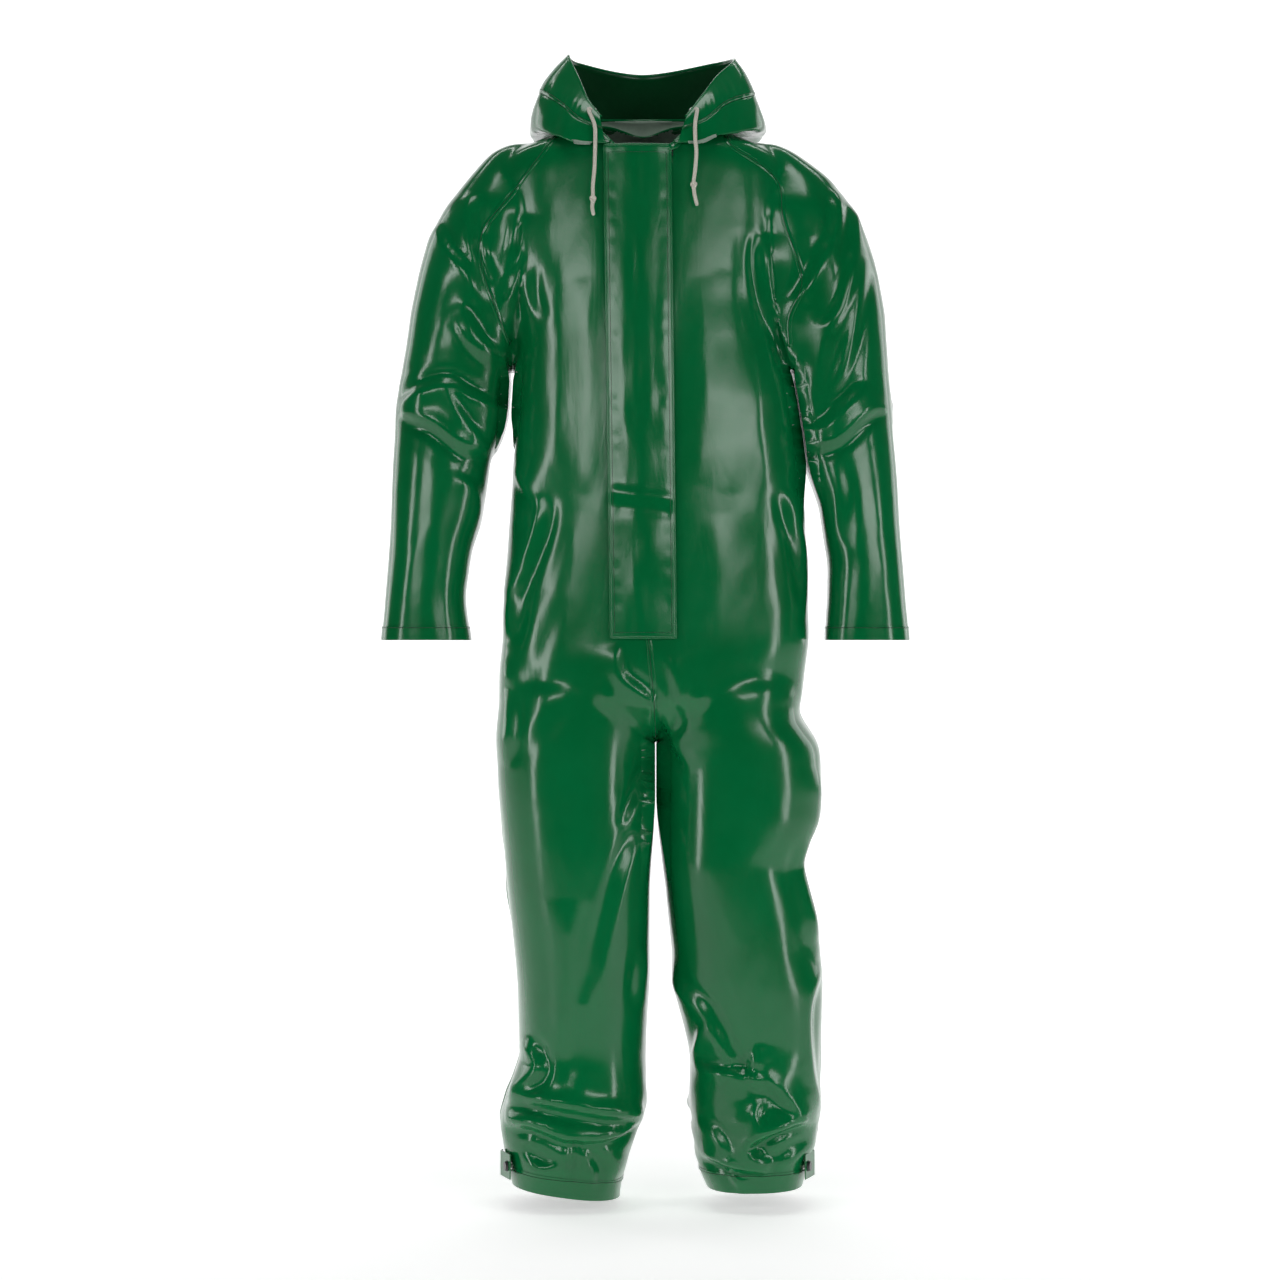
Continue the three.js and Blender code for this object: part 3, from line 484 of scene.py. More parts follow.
def keep_torso(x, z):
    loose = 80 * (1 - apart(z))
    x = below(x, by_z(SEAM_LEFT, z) - 8.0 + loose)
    return -below(-x, -(by_z(SEAM_RIGHT, z) + 8.0 - loose))


def keep_arm_left(x, z):
    return -below(-x, -(by_z(SEAM_LEFT, z) + 7.5 - 120 * (1 - apart(z))))


def keep_arm_right(x, z):
    return below(x, by_z(SEAM_RIGHT, z) - 7.5 + 120 * (1 - apart(z)))


def keep_leg_left(x, z):
    return -below(-x, -(25.0 - 60 * float(1 - smoothstep(815, 850, -z))), 3.0)


def keep_leg_right(x, z):
    return below(x, 10.0 + 60 * float(1 - smoothstep(815, 850, -z)), 3.0)


forms = [
    loft(TORSO_WIDTH, TORSO_DEPTH, 56, -806, 96, keep_torso, power=TORSO_ROUNDNESS),
    loft(ARM_LEFT, ARM_DEPTH, 14, -700, 64, keep_arm_left),
    loft(ARM_RIGHT, ARM_DEPTH, 14, -700, 64, keep_arm_right),
    loft(LEG_LEFT, LEG_DEPTH, -655, -1470, 72, keep_leg_left),
    loft(LEG_RIGHT, LEG_DEPTH, -655, -1470, 72, keep_leg_right),
]
all_verts, all_faces = [], []
for verts, faces in forms:
    first = sum(len(v) for v in all_verts)
    all_verts.append(verts)
    all_faces += [tuple(first + i for i in f) for f in faces]
rough_form = new_object("rough_form", np.vstack(all_verts), all_faces, [])
modifier = rough_form.modifiers.new("remesh", "REMESH")
modifier.mode = "VOXEL"
modifier.voxel_size = VOXEL
modifier.use_smooth_shade = True
bpy.context.view_layer.update()
whole = bpy.data.meshes.new_from_object(rough_form.evaluated_get(bpy.context.evaluated_depsgraph_get()))
bpy.data.objects.remove(rough_form)


def read(items, name, width=3, kind=np.float32):
    """One property of every item of a mesh, a row for each."""
    out = np.zeros(len(items) * width, kind)
    items.foreach_get(name, out)
    return out.reshape(-1, width).astype(float if kind is np.float32 else kind)


def relax(co, edges, rounds, first=0.5, second=None, weight=None):
    """Moves each point towards the middle of its neighbours, round by round."""
    n = len(co)
    i, j = np.concatenate([edges[:, 0], edges[:, 1]]), np.concatenate([edges[:, 1], edges[:, 0]])
    count = np.maximum(np.bincount(i, minlength=n), 1)[:, None]
    for _ in range(rounds):
        for step in (first,) if second is None else (first, second):
            mean = np.column_stack([np.bincount(i, co[j, k], n) for k in range(3)]) / count
            move = step * (mean - co)
            co = co + (move if weight is None else move * weight[:, None])
    return co


edges = read(whole.edges, "vertices", 2, np.int32)
co = read(whole.vertices, "co")
co = relax(co, edges, 24, 0.55, -0.56)
co = relax(co, edges, 4, 0.5)
whole.vertices.foreach_set("co", co.ravel())
whole.update()
normal = read(whole.vertex_normals, "vector")


# ---------------------------------------------------------------- folds

# Each fold runs along points (x, z) in millimetres, seen from the front: how high, how wide, and on which
# side its valley lies (1 is on the left going along it, -1 the right, 0 both).
FOLDS = [
    # shoulders and armpits
    ([(-235, -60), (-236, -110), (-226, -160), (-196, -218)], 6, 9, 1),
    ([(-285, -100), (-266, -140), (-236, -175), (-222, -215)], 5, 8, 1),
    ([(-215, -122), (-200, -180), (-184, -214)], 5, 7, -1),
    ([(-160, -92), (-166, -150), (-184, -205), (-197, -222)], 6, 9, -1),
    ([(-158, -158), (-156, -208), (-143, -240)], 3, 9, 1),
    ([(-165, -134), (-185, -175), (-199, -212)], 4, 7, 0),
    ([(260, -50), (264, -100), (241, -160), (214, -212)], 6, 9, -1),
    ([(290, -60), (288, -130), (270, -215), (244, -250)], 5, 9, -1),
    ([(166, -118), (164, -157), (174, -214), (196, -262), (204, -305)], 8, 9, -1),
    ([(241, -128), (218, -190), (200, -232)], 2.5, 9, -1),
    ([(281, -145), (260, -213), (236, -300), (226, -350)], 4, 12, 1),
    # sleeves
    ([(-250, -212), (-226, -254), (-196, -290)], 5, 8, 1),
    ([(-253, -232), (-236, -262), (-207, -290)], 4, 7, -1),
    ([(-334, -350), (-272, -323), (-236, -338), (-190, -360)], 7, 10, 1),
    ([(-334, -352), (-284, -371), (-240, -403), (-205, -407)], 7, 10, -1),
    ([(-272, -322), (-250, -360), (-212, -412)], 4, 7, 1),
    ([(-320, -300), (-300, -330), (-288, -352)], 3, 10, 0),
    ([(-262, -440), (-228, -470), (-222, -520)], 3, 9, 1),
    ([(300, -145), (272, -292), (241, -336)], 4, 10, 1),
    ([(225, -380), (246, -380), (271, -356), (306, -322)], 6, 9, 1),
    ([(225, -404), (262, -394), (305, -356), (340, -349)], 6, 9, -1),
    ([(250, -420), (262, -470), (258, -540)], 3, 11, 1),
    # waist and hips
    ([(-176, -429), (-155, -465), (-139, -484)], 5, 9, -1),
    ([(-140, -470), (-145, -515), (-175, -600), (-186, -668)], 6, 11, 1),
    ([(-162, -577), (-182, -612)], 3, 8, 1),
    ([(195, -463), (219, -550), (229, -622)], 6, 10, -1),
    ([(219, -435), (226, -480)], 4, 7, -1),
    ([(198, -500), (214, -560), (220, -640)], 4, 9, 1),
    ([(-130, -600), (-155, -665), (-185, -755)], 2, 15, 1),
    ([(-190, -690), (-173, -737)], 4, 9, 0),
    ([(-95, -720), (-140, -765), (-184, -818)], 1.6, 15, 1),
    # crotch
    ([(-37, -672), (-30, -715), (8, -752), (14, -815)], 5, 8, 1),
    ([(-60, -720), (-35, -770), (12, -818)], 3, 9, 1),
    ([(16, -749), (46, -804), (66, -842)], 5, 8, -1),
    ([(36, -686), (50, -742), (66, -784)], 4, 8, -1),
    ([(80, -730), (60, -790), (26, -822)], 3, 9, -1),
    # wearer's right leg
    ([(-185, -735), (-180, -782), (-190, -835)], 4, 9, 1),
    ([(14, -830), (0, -868), (-20, -925)], 5, 8, -1),
    ([(12, -908), (-20, -978), (-46, -1072), (-62, -1160)], 5, 11, -1),
    ([(4, -1086), (-2, -1140), (5, -1170)], 4, 8, -1),
    ([(-98, -1018), (-106, -1146), (-122, -1278)], 3.5, 12, 1),
    ([(-150, -1203), (-148, -1240)], 4, 9, 1),
    ([(-160, -1210), (-141, -1246), (-178, -1284)], 5, 9, 1),
    ([(-190, -1291), (-146, -1285), (-56, -1300), (6, -1309)], 8, 10, -1),
    ([(-188, -1318), (-148, -1319), (-104, -1333), (-55, -1335), (5, -1318)], 8, 9, -1),
    ([(-104, -1333), (-107, -1400)], 5, 8, 1),
    ([(-168, -1363), (-136, -1380), (-114, -1376)], 5, 7, 1),
    ([(-60, -1345), (-40, -1375), (-38, -1405)], 4, 9, -1),
    ([(-88, -1352), (-70, -1385), (-74, -1412)], 3, 8, 1),
    # wearer's left leg
    ([(236, -838), (238, -905), (211, -962), (216, -998), (240, -1076)], 6, 10, 1),
    ([(223, -940), (212, -982), (230, -1056), (243, -1100)], 4, 9, -1),
    ([(38, -1104), (44, -1136), (75, -1164), (90, -1186), (125, -1254)], 6, 9, 1),
    ([(87, -1185), (68, -1245)], 5, 8, -1),
    ([(66, -1246), (110, -1253), (142, -1257), (162, -1281)], 5, 8, 1),
    ([(243, -1110), (222, -1166), (226, -1252), (244, -1316)], 6, 10, 1),
    ([(155, -1212), (151, -1252), (178, -1268), (220, -1317)], 5, 9, -1),
    ([(160, -1285), (151, -1305), (160, -1326)], 5, 7, 1),
    ([(218, -1316), (164, -1327), (138, -1352), (174, -1377)], 7, 8, 1),
    ([(136, -1350), (196, -1315), (240, -1320)], 5, 8, -1),
    ([(78, -1362), (110, -1369), (140, -1376), (176, -1384)], 7, 8, -1),
    ([(175, -1380), (236, -1350)], 5, 8, 1),
    ([(109, -1369), (124, -1392), (140, -1414)], 4, 7, -1),
    ([(70, -1318), (100, -1340), (112, -1362)], 4, 8, 1),
    # the soft streaks that hang down the chest and belly
    ([(-120, -190), (-112, -300), (-118, -440)], 1.6, 15, 0),
    ([(-82, -180), (-74, -330), (-84, -470)], 1.4, 13, 0),
    ([(78, -180), (86, -300), (74, -460)], 1.4, 14, 0),
    ([(112, -170), (124, -300), (118, -470)], 1.8, 16, 0),
    ([(152, -250), (158, -380), (168, -470)], 2.2, 14, 0),
    ([(-100, -500), (-92, -580), (-110, -680)], 1.6, 18, 0),
    ([(96, -500), (110, -600), (104, -700)], 1.6, 18, 0),
]


def fold_height(x, z, folds, reach=5.0):
    """The height of all the folds at each point, in millimetres."""
    out = np.zeros(len(x))
    for points, height, width, side in folds:
        width = width * 1.3
        height = height * (1.7 if points[0][1] < -1180 else 1.2)
        line = catmull(np.array(points, float), 5)
        low, high = line.min(0) - reach * width, line.max(0) + reach * width
        near = np.nonzero((x > low[0]) & (x < high[0]) & (z > low[1]) & (z < high[1]))[0]
        if not len(near):
            continue
        px, pz = x[near], z[near]
        lengths = run_of(line)
        best = np.full(len(near), 1e9)
        signed, along = np.zeros(len(near)), np.zeros(len(near))
        for k in range(len(line) - 1):
            a, d = line[k], line[k + 1] - line[k]
            size = math.hypot(*d)
            t = np.clip(((px - a[0]) * d[0] + (pz - a[1]) * d[1]) / size ** 2, 0, 1)
            ox, oz = px - a[0] - t * d[0], pz - a[1] - t * d[1]
            dist = np.hypot(ox, oz)
            closer = dist < best
            best[closer] = dist[closer]
            cross = (d[0] * oz - d[1] * ox) / size
            signed[closer] = (np.sign(cross) * dist)[closer]
            along[closer] = (lengths[k] + t * size)[closer]
        u = along / lengths[-1]
        end = np.clip(np.minimum(u, 1 - u) * lengths[-1] / (3.4 * width), 0, 1)
        end = np.sin(end * math.pi / 2) ** 0.8
        s = signed / width
        # A fold is steep on its valley's side and runs out slowly on the other.
        if side:
            s = s * side
            ridge = np.where(s > 0, np.exp(-np.abs(s / 0.62) ** 1.5), np.exp(-np.abs(s / 1.55) ** 1.25))
            valley = 0.62 * np.exp(-((s - 1.25) / 0.62) ** 2)
            slope = 0.12 * np.exp(-((s - 2.6) / 1.2) ** 2)
        else:
            ridge = np.exp(-np.abs(s) ** 1.4)
            valley = 0.3 * np.exp(-((np.abs(s) - 1.9) / 1.0) ** 2)
            slope = 0
        out[near] += height * end * (ridge - valley - slope) * np.exp(-np.maximum(best - 3.2 * width, 0) / width)
    return out


def field(points, scale, seed):
    """Smooth noise from -1 to 1, at points in millimetres, stretched by scale."""
    p = points / np.asarray(scale) + seed * 13.7
    return np.array([noise.noise(Vector(q)) for q in p])


here = co / MM
facing = smoothstep(-0.12, 0.42, -normal[:, 1])
away = smoothstep(-0.12, 0.42, normal[:, 1])
FRONT_STRENGTH, BACK_STRENGTH = 0.85, 0.9
# The back has the same folds, mirrored about the middle and a little lower.
MIRROR_X, BACK_SHIFT = 34, 6
height = FRONT_STRENGTH * fold_height(here[:, 0], here[:, 2], FOLDS) * facing
height += fold_height(MIRROR_X - here[:, 0], here[:, 2] + BACK_SHIFT, FOLDS) * away * BACK_STRENGTH

# General unevenness: soft dents, long hanging streaks and small crinkles, less on the flat chest.
calm = 1 - 0.55 * np.exp(-((here[:, 0] - 8) / 110) ** 2 - ((here[:, 2] + 330) / 260) ** 2) * facing
calm *= 1 - 0.6 * smoothstep(640, 760, -here[:, 2]) * smoothstep(-1190, -1060, here[:, 2])
height += 1.4 * calm * field(here, (80, 100, 150), 1)
height += 0.8 * calm * field(here + here[:, 2:] * (0.16, 0, 0), (42, 60, 190), 2)
height += 0.3 * calm * field(here - here[:, 2:] * (0.4, 0, 0), (24, 34, 90), 3)
lower = smoothstep(1180, 1330, -here[:, 2])
height += 1.8 * lower * field(here, (50, 50, 24), 4)
height += 0.4 * lower * field(here, (24, 24, 16), 5)
height *= 1 - 0.55 * smoothstep(1400, 1436, -here[:, 2])
height *= 1 - 0.8 * smoothstep(-18, 20, here[:, 2])

# Under the storm flap and round the zip the front lies flat.
under_flap = np.exp(-np.maximum(np.abs(here[:, 0] + 4) - 34, 0) ** 2 / 18 ** 2) * facing
under_flap *= smoothstep(-690, -655, here[:, 2])
height *= 1 - 0.94 * under_flap
# The ankle's outer side lies flat round its take-up tab.
for x_edge in (-190, 229):
    near_snap = np.exp(-((here[:, 0] - x_edge) / 30) ** 2 - ((here[:, 2] + 1382) / 32) ** 2)
    height *= 1 - 0.85 * near_snap

co = co + normal * (height * MM)[:, None]
co = relax(co, edges, 1, 0.35)
LEG_GAP_X = 17.5
# Between crotch and mid thigh the two legs hang against each other.
gap_x, gap_z = co[:, 0] / MM - LEG_GAP_X, -co[:, 2] / MM
arch = (gap_z < 846) * (np.abs(normal[:, 1]) < 0.72)
close = (1 - smoothstep(880, 1015, gap_z)) * smoothstep(798, 810, gap_z) * (np.abs(gap_x) < 18)
close = close * np.maximum(smoothstep(0.15, 0.6, np.abs(normal[:, 0])), arch)
gap_x = np.sign(gap_x) * (0.9 + (np.abs(gap_x) - 0.9) * (1 - close))
co[:, 0] = np.where(close > 0, (gap_x + LEG_GAP_X) * MM, co[:, 0])
# Below the armpits each sleeve hangs against the body, nearer on the wearer's left.
for seam, rest, lowest in ((SEAM_LEFT, 1.0, 462), (SEAM_RIGHT, 2.6, 392)):
    gap_x = co[:, 0] / MM - by_z(seam, co[:, 2] / MM)
    close = smoothstep(270, 315, gap_z) * (1 - smoothstep(lowest - 40, lowest + 30, gap_z)) * (np.abs(gap_x) < 13)
    close = close * smoothstep(0.1, 0.6, np.abs(normal[:, 0]))
    moved = np.sign(gap_x) * (rest + (np.abs(gap_x) - rest) * (1 - close))
    co[:, 0] = np.where(close > 0, (moved + by_z(seam, co[:, 2] / MM)) * MM, co[:, 0])
whole.vertices.foreach_set("co", co.ravel())
whole.update()


# ---------------------------------------------------------------- cut to shape

CUFF_Z = -667.0
CUFF_BAND = 19.0
HEM_BAND = 27.0
# A hem's plane: a point on it and the way up along the leg.
HEM_RIGHT = (Vector((-0.104, 0, -1.421)), Vector((0.128, 0, 0.992)).normalized())
HEM_LEFT = (Vector((0.158, 0, -1.4145)), Vector((-0.018, 0, 1.0)).normalized())

bm = bmesh.new()
bm.from_mesh(whole)


def cut(keep_face, point, up, clear):
    """Cuts the chosen faces with a plane, and removes what lies below it if clear."""
    faces = [f for f in bm.faces if keep_face(f.calc_center_median())]
    geometry = faces + list({e for f in faces for e in f.edges}) + list({v for f in faces for v in f.verts})
    bmesh.ops.bisect_plane(bm, geom=geometry, dist=1e-5, plane_co=point, plane_no=up, clear_inner=clear)


for at, clear in ((CUFF_Z, True), (CUFF_Z + CUFF_BAND, False)):
    level = Vector((0, 0, at * MM))
    cut(lambda c: c.x > 0.2375 and -0.74 < c.z < -0.6, level, Vector((0, 0, 1)), clear)
    cut(lambda c: c.x < -0.215 and -0.74 < c.z < -0.6, level, Vector((0, 0, 1)), clear)
for (point, up), chosen in ((HEM_RIGHT, lambda c: c.x < 0.02 and c.z < -1.3),
                            (HEM_LEFT, lambda c: c.x > 0.02 and c.z < -1.3)):
    cut(chosen, point, up, True)
    cut(chosen, point + up * HEM_BAND * MM, up, False)

# The neck opening is an ellipse from above, and the zip's slot runs down the front.
NECK = (88.0, -18.0, 105.0)


def neck_value(x, y):
    return math.hypot(x / NECK[0], (y - NECK[1]) / NECK[2])


ZIP_BOTTOM, ZIP_HALF = -606.0, 7.0
for x_cut in (-ZIP_HALF, ZIP_HALF):
    cut(lambda c: abs(c.x) < 0.016 and c.y < -0.06 and -0.62 < c.z < 0.03, Vector((x_cut * MM, 0, 0)),
        Vector((1, 0, 0)), False)
cut(lambda c: abs(c.x) < 0.016 and c.y < -0.06 and -0.63 < c.z < -0.59, Vector((0, 0, ZIP_BOTTOM * MM)),
    Vector((0, 0, 1)), False)
drop = []
for f in bm.faces:
    c = f.calc_center_median()
    in_neck = c.z > -0.06 and neck_value(c.x / MM, c.y / MM) < 1.0 and (c.z > -0.02 or c.y > -0.1)
    in_zip = abs(c.x) < ZIP_HALF * MM and c.y < -0.06 and ZIP_BOTTOM * MM < c.z < 0.02
    if in_neck or in_zip:
        drop.append(f)
bmesh.ops.delete(bm, geom=drop, context="FACES")
loose_ends = [v for v in bm.verts if not v.link_faces]
bmesh.ops.delete(bm, geom=loose_ends, context="VERTS")
for v in bm.verts:
    if v.is_boundary and v.co.z > -0.06 and (abs(v.co.x) > 0.0075 or v.co.y > 0):
        f = neck_value(v.co.x / MM, v.co.y / MM)
        if 0.8 < f < 1.15:
            v.co.x /= f
            v.co.y = (NECK[1] + (v.co.y / MM - NECK[1]) / f) * MM
bm.to_mesh(whole)
bm.free()
whole.update()
co = read(whole.vertices, "co")
normal = read(whole.vertex_normals, "vector")
polygons = [tuple(p.vertices) for p in whole.polygons]
centre = read(whole.polygons, "center") / MM
body_tree = BVHTree.FromPolygons([Vector(v) for v in co], polygons)


def shell(name, chosen, outer, inner, materials):
    """A closed skin over some of the whole's faces, between two offsets in millimetres from its surface."""
    picked = [polygons[i] for i in np.nonzero(chosen)[0]]
    used = sorted({v for f in picked for v in f})
    index = {v: k for k, v in enumerate(used)}
    base, out = co[used], normal[used]
    n = len(used)
    verts = np.vstack([base + out * outer * MM, base + out * inner * MM])
    faces, kinds = [], []
    border = {}
    for f in picked:
        g = [index[v] for v in f]
        faces.append(tuple(g))
        faces.append(tuple(n + i for i in reversed(g)))
        kinds += [0, 1]
        for a, b in zip(g, g[1:] + g[:1]):
            if (b, a) in border:
                del border[(b, a)]
            else:
                border[(a, b)] = True
    for a, b in border:
        faces.append((b, a, n + a, n + b))
        kinds.append(0)
    obj = new_object(name, verts, faces, materials, kinds)
    obj.data.normals_split_custom_set_from_vertices([tuple(v) for v in np.vstack([out, -out])])
    return obj


x, y, z = centre[:, 0], centre[:, 1], centre[:, 2]
seam_l, seam_r = by_z(SEAM_LEFT, z), by_z(SEAM_RIGHT, z)
is_left_arm = (x > seam_l) & (z > -740) & (z < 115)
is_right_arm = (x < seam_r) & (z > -740) & (z < 115)
is_left_arm &= ~((z < -670) & (x < 238))
hem_right_height = (centre * MM - np.array(HEM_RIGHT[0])) @ np.array(HEM_RIGHT[1]) / MM
hem_left_height = (centre * MM - np.array(HEM_LEFT[0])) @ np.array(HEM_LEFT[1]) / MM
in_cuff = z < CUFF_Z + CUFF_BAND
middle_line = LEG_GAP_X - LEG_GAP_X * smoothstep(-560, -350, z)
is_left = x > middle_line
trunk = ~is_left_arm & ~is_right_arm
hem_l = trunk & is_left & (hem_left_height < HEM_BAND) & (z < -1300)
hem_r = trunk & ~is_left & (hem_right_height < HEM_BAND) & (z < -1300)

# Where the cloth starts and ends its turn from the body to a limb.
HIP = {
    "left": ("suit", "leg_left", (0.02, 0, -0.79), (0.11, 0, -1.03)),
    "right": ("suit", "leg_right", (0.01, 0, -0.79), (-0.08, 0, -1.03)),
}
UNDERARM = {
    "left": ("suit", "sleeve_left", (0.188, 0, -0.285), (0.188 + 0.13, 0, -0.285 - 0.115)),
    "right": ("suit", "sleeve_right", (-0.180, 0, -0.275), (-0.180 - 0.13, 0, -0.275 - 0.115)),
}
CLOTH = (0, -2.0, [GREEN, INNER])
# Turned hems take the darker copy of the cloth on their inner faces, as painted shade.
TURNED = (0.9, -2.8, [GREEN, GREEN_PAINTED_SHADE])
for end, half, arm, leg_hem in (("left", is_left, is_left_arm, hem_l), ("right", ~is_left, is_right_arm, hem_r)):
    piece = shell("coverall_" + end, trunk & half & ~leg_hem, *CLOTH)
    wear(piece, HIP[end], *(n + end for n in ("front_panel_", "back_panel_", "leg_front_", "leg_back_")))
    piece = shell("sleeve_cloth_" + end, arm & ~in_cuff, *CLOTH)
    wear(piece, UNDERARM[end], *(n + end for n in ("raglan_cap_", "sleeve_front_", "sleeve_back_")))
    wear(shell("cuff_fold_" + end, arm & in_cuff, *TURNED), "sleeve_" + end, "cuff_hem_" + end)
    wear(shell("leg_hem_fold_" + end, leg_hem, *TURNED), "leg_" + end, "leg_hem_" + end)


# ---------------------------------------------------------------- seams and stitches


def hit(origin, direction):
    """Where a line meets the coverall: the point and the way out of the surface, in metres."""
    d = Vector(direction)
    point, out, _, _ = body_tree.ray_cast(Vector(origin), d)
    if point is None:
        return None
    return np.array(point), np.array(-out if out.dot(d) > 0 else out)


def met(hits):
    """The points and the normals of the lines that met the coverall."""
    found = [f for f in hits if f is not None]
    return np.array([f[0] for f in found]), np.array([f[1] for f in found])


def project(points, step, face="front"):
    """A line (x, z) in millimetres laid on the front or the back of the coverall."""
    way = 1 if face == "front" else -1
    p, n = met(hit((px * MM, -way, pz * MM), (0, way, 0)) for px, pz in spaced(points, step))
    for _ in range(3):
        n[1:-1] = n[1:-1] + 0.5 * (n[:-2] + n[2:])
        n /= np.linalg.norm(n, axis=1, keepdims=True)
    return p, n


def ribbon(name, p, n, profile, materials, closed=False):
    """A strip along a line on a surface. profile is its outline across it: (sideways, up) in millimetres."""
    t = np.roll(p, -1, 0) - np.roll(p, 1, 0)
    if not closed:
        t[0], t[-1] = p[1] - p[0], p[-1] - p[-2]
    across = unit(np.cross(unit(t), n))
    k = len(profile)
    verts = [p[i] + across[i] * s * MM + n[i] * u * MM for i in range(len(p)) for s, u in profile]
    faces = ring_faces(len(p), k, flip=True, closed=closed)
    if not closed:
        faces.append(tuple(range(k)))
        faces.append(tuple(reversed(range((len(p) - 1) * k, len(p) * k))))
    return new_object(name, verts, faces, materials)


def stitches(name, p, n, materials, pitch=3.6, long=2.5, wide=0.42, up=0.25):
    """A row of thread along a line on a surface, each stitch a small rounded bar."""
    s = spaced(np.hstack([p, n]), pitch * MM)
    p, n = s[:, :3], s[:, 3:] / np.linalg.norm(s[:, 3:], axis=1, keepdims=True)
    t = tangents(p)
    across = np.cross(t, n)
    verts, faces = [], []
    for i in range(len(p)):
        first = len(verts)
        for end, size, lift in ((-0.5, 0.45, -0.1), (-0.3, 1.0, 1.0), (0.3, 1.0, 1.0), (0.5, 0.45, -0.1)):
            at = p[i] + t[i] * end * long * MM + n[i] * up * lift * MM
            for sx, su in ((-1, -0.2), (0, 1), (1, -0.2)):
                verts.append(at + across[i] * sx * size * wide * MM + n[i] * su * size * wide * MM)
        faces += ring_faces(4, 3, first)
        faces.append((first + 2, first + 1, first))
        faces.append((first + 9, first + 10, first + 11))
    return new_object(name, verts, faces, materials)


FELLED = [(-4.6, -0.6), (-4.4, 0.25), (-3.6, 0.55), (0, 0.7), (2.8, 0.75), (3.4, 0.3), (3.6, -0.6)]


def sew(first, last, p, n):
    """A felled seam and its row of stitches, on the body."""
    strip = ribbon(f"{first}_seam_{last}", p, n, FELLED, [GREEN])
    row = stitches(f"{first}_stitch_{last}", p + n * 0.7 * MM, n, [THREAD])
    for piece in (strip, row):
        wear(piece, "suit")


RAGLAN_TOP, RAGLAN_END = 14, {"left": -272, "right": -268}
for end, seam in (("left", SEAM_LEFT), ("right", SEAM_RIGHT)):
    line = [(sx, sz) for sz, sx in seam if RAGLAN_TOP >= sz >= RAGLAN_END[end]]
    for face in ("front", "back"):
        sew("raglan", f"{end}_{face}", *project(catmull(line, 8), 4.0, face))
sew("centre", "front", *project([(0, -610), (8, -672), (14, -740), (17, -800)], 4.0))
sew("centre", "back", *project([(0, 20), (4, -200), (16, -500), (17, -800)], 5.0, "back"))


def around(middle, radius, count, level, inner=None):
    """Points round a limb, found from outside inwards. level(x) is the height there."""
    hits = []
    for a in np.linspace(0, 2 * math.pi, count, endpoint=False):
        towards_body = inner is not None and math.cos(a) * middle[0] < 0
        ox = middle[0] + (inner if towards_body else radius) * math.cos(a)
        oy = middle[1] + radius * math.sin(a)
        zz = level(middle[0] + 0.75 * radius * math.cos(a))
        hits.append(hit((ox * MM, oy * MM, zz * MM), (middle[0] * MM - ox * MM, middle[1] * MM - oy * MM, 0)))
    p, n = met(hits)
    return np.vstack([p, p[:1]]), np.vstack([n, n[:1]])


for end, middle in (("left", (303, -35)), ("right", (-296, -35))):
    p, n = around(middle, 78, 120, lambda px: CUFF_Z + CUFF_BAND - 2.5, inner=65)
    wear(stitches("cuff_stitch_" + end, p + n * 0.95 * MM, n, [THREAD]), "sleeve_" + end)
for end, middle, (point, up) in (("left", (155, 0), HEM_LEFT), ("right", (-105, 0), HEM_RIGHT)):
    def level(px, point=point, up=up):
        return (point.z / MM + (HEM_BAND - 3) / up.z) - (px - point.x / MM) * up.x / up.z
    p, n = around(middle, 110, 150, level)
    wear(stitches("leg_hem_stitch_" + end, p + n * 0.95 * MM, n, [THREAD]), "leg_" + end)

# The legs' side seams, found from outside inwards and clear of the sleeves.
for end, sign, top in (("left", 1, -720), ("right", -1, -740)):
    levels = [zz for zz in np.arange(-330, -1385, -6.0) if zz <= top]
    p, n = met(hit((sign * 0.3, 0.012, zz * MM), (-sign, 0, 0)) for zz in levels)
    wear(ribbon("side_seam_" + end, p, n, FELLED, [GREEN]), HIP[end])


# ---------------------------------------------------------------- neck binding

NECK_LOW, NECK_HIGH = -6, 46  # the binding's lowest and highest reach
ring = []
for a in np.linspace(0, 2 * math.pi, 140, endpoint=False):
    bx, by = NECK[0] * 1.025 * math.cos(a), NECK[1] + NECK[2] * 1.02 * math.sin(a)
    by = max(by, -114.5)
    f = hit((bx * MM, by * MM, 0.2), (0, 0, -1))
    zz = f[0][2] / MM if f is not None else 0
    ring.append((bx / 1.03, by, max(min(zz, NECK_HIGH), NECK_LOW)))
p = np.array(ring) * MM
for _ in range(6):
    p[:, 2] = (np.roll(p[:, 2], 1) + p[:, 2] * 2 + np.roll(p[:, 2], -1)) / 4
out = p - np.array([0, NECK[1] * MM, 0])
out[:, 2] = 0
n = out / np.linalg.norm(out, axis=1, keepdims=True) + np.array([0, 0, 0.9])
n /= np.linalg.norm(n, axis=1, keepdims=True)
BINDING = [(-5.5, -1.2), (-5.6, 0.6), (-4.6, 1.7), (0, 2.1), (4.6, 1.7), (5.6, 0.6), (5.5, -1.2)]
wear(ribbon("neck_binding_fold", p, n, BINDING, [GREEN], closed=True), "suit", "neck_binding")


# ---------------------------------------------------------------- hood, folded back round the neck

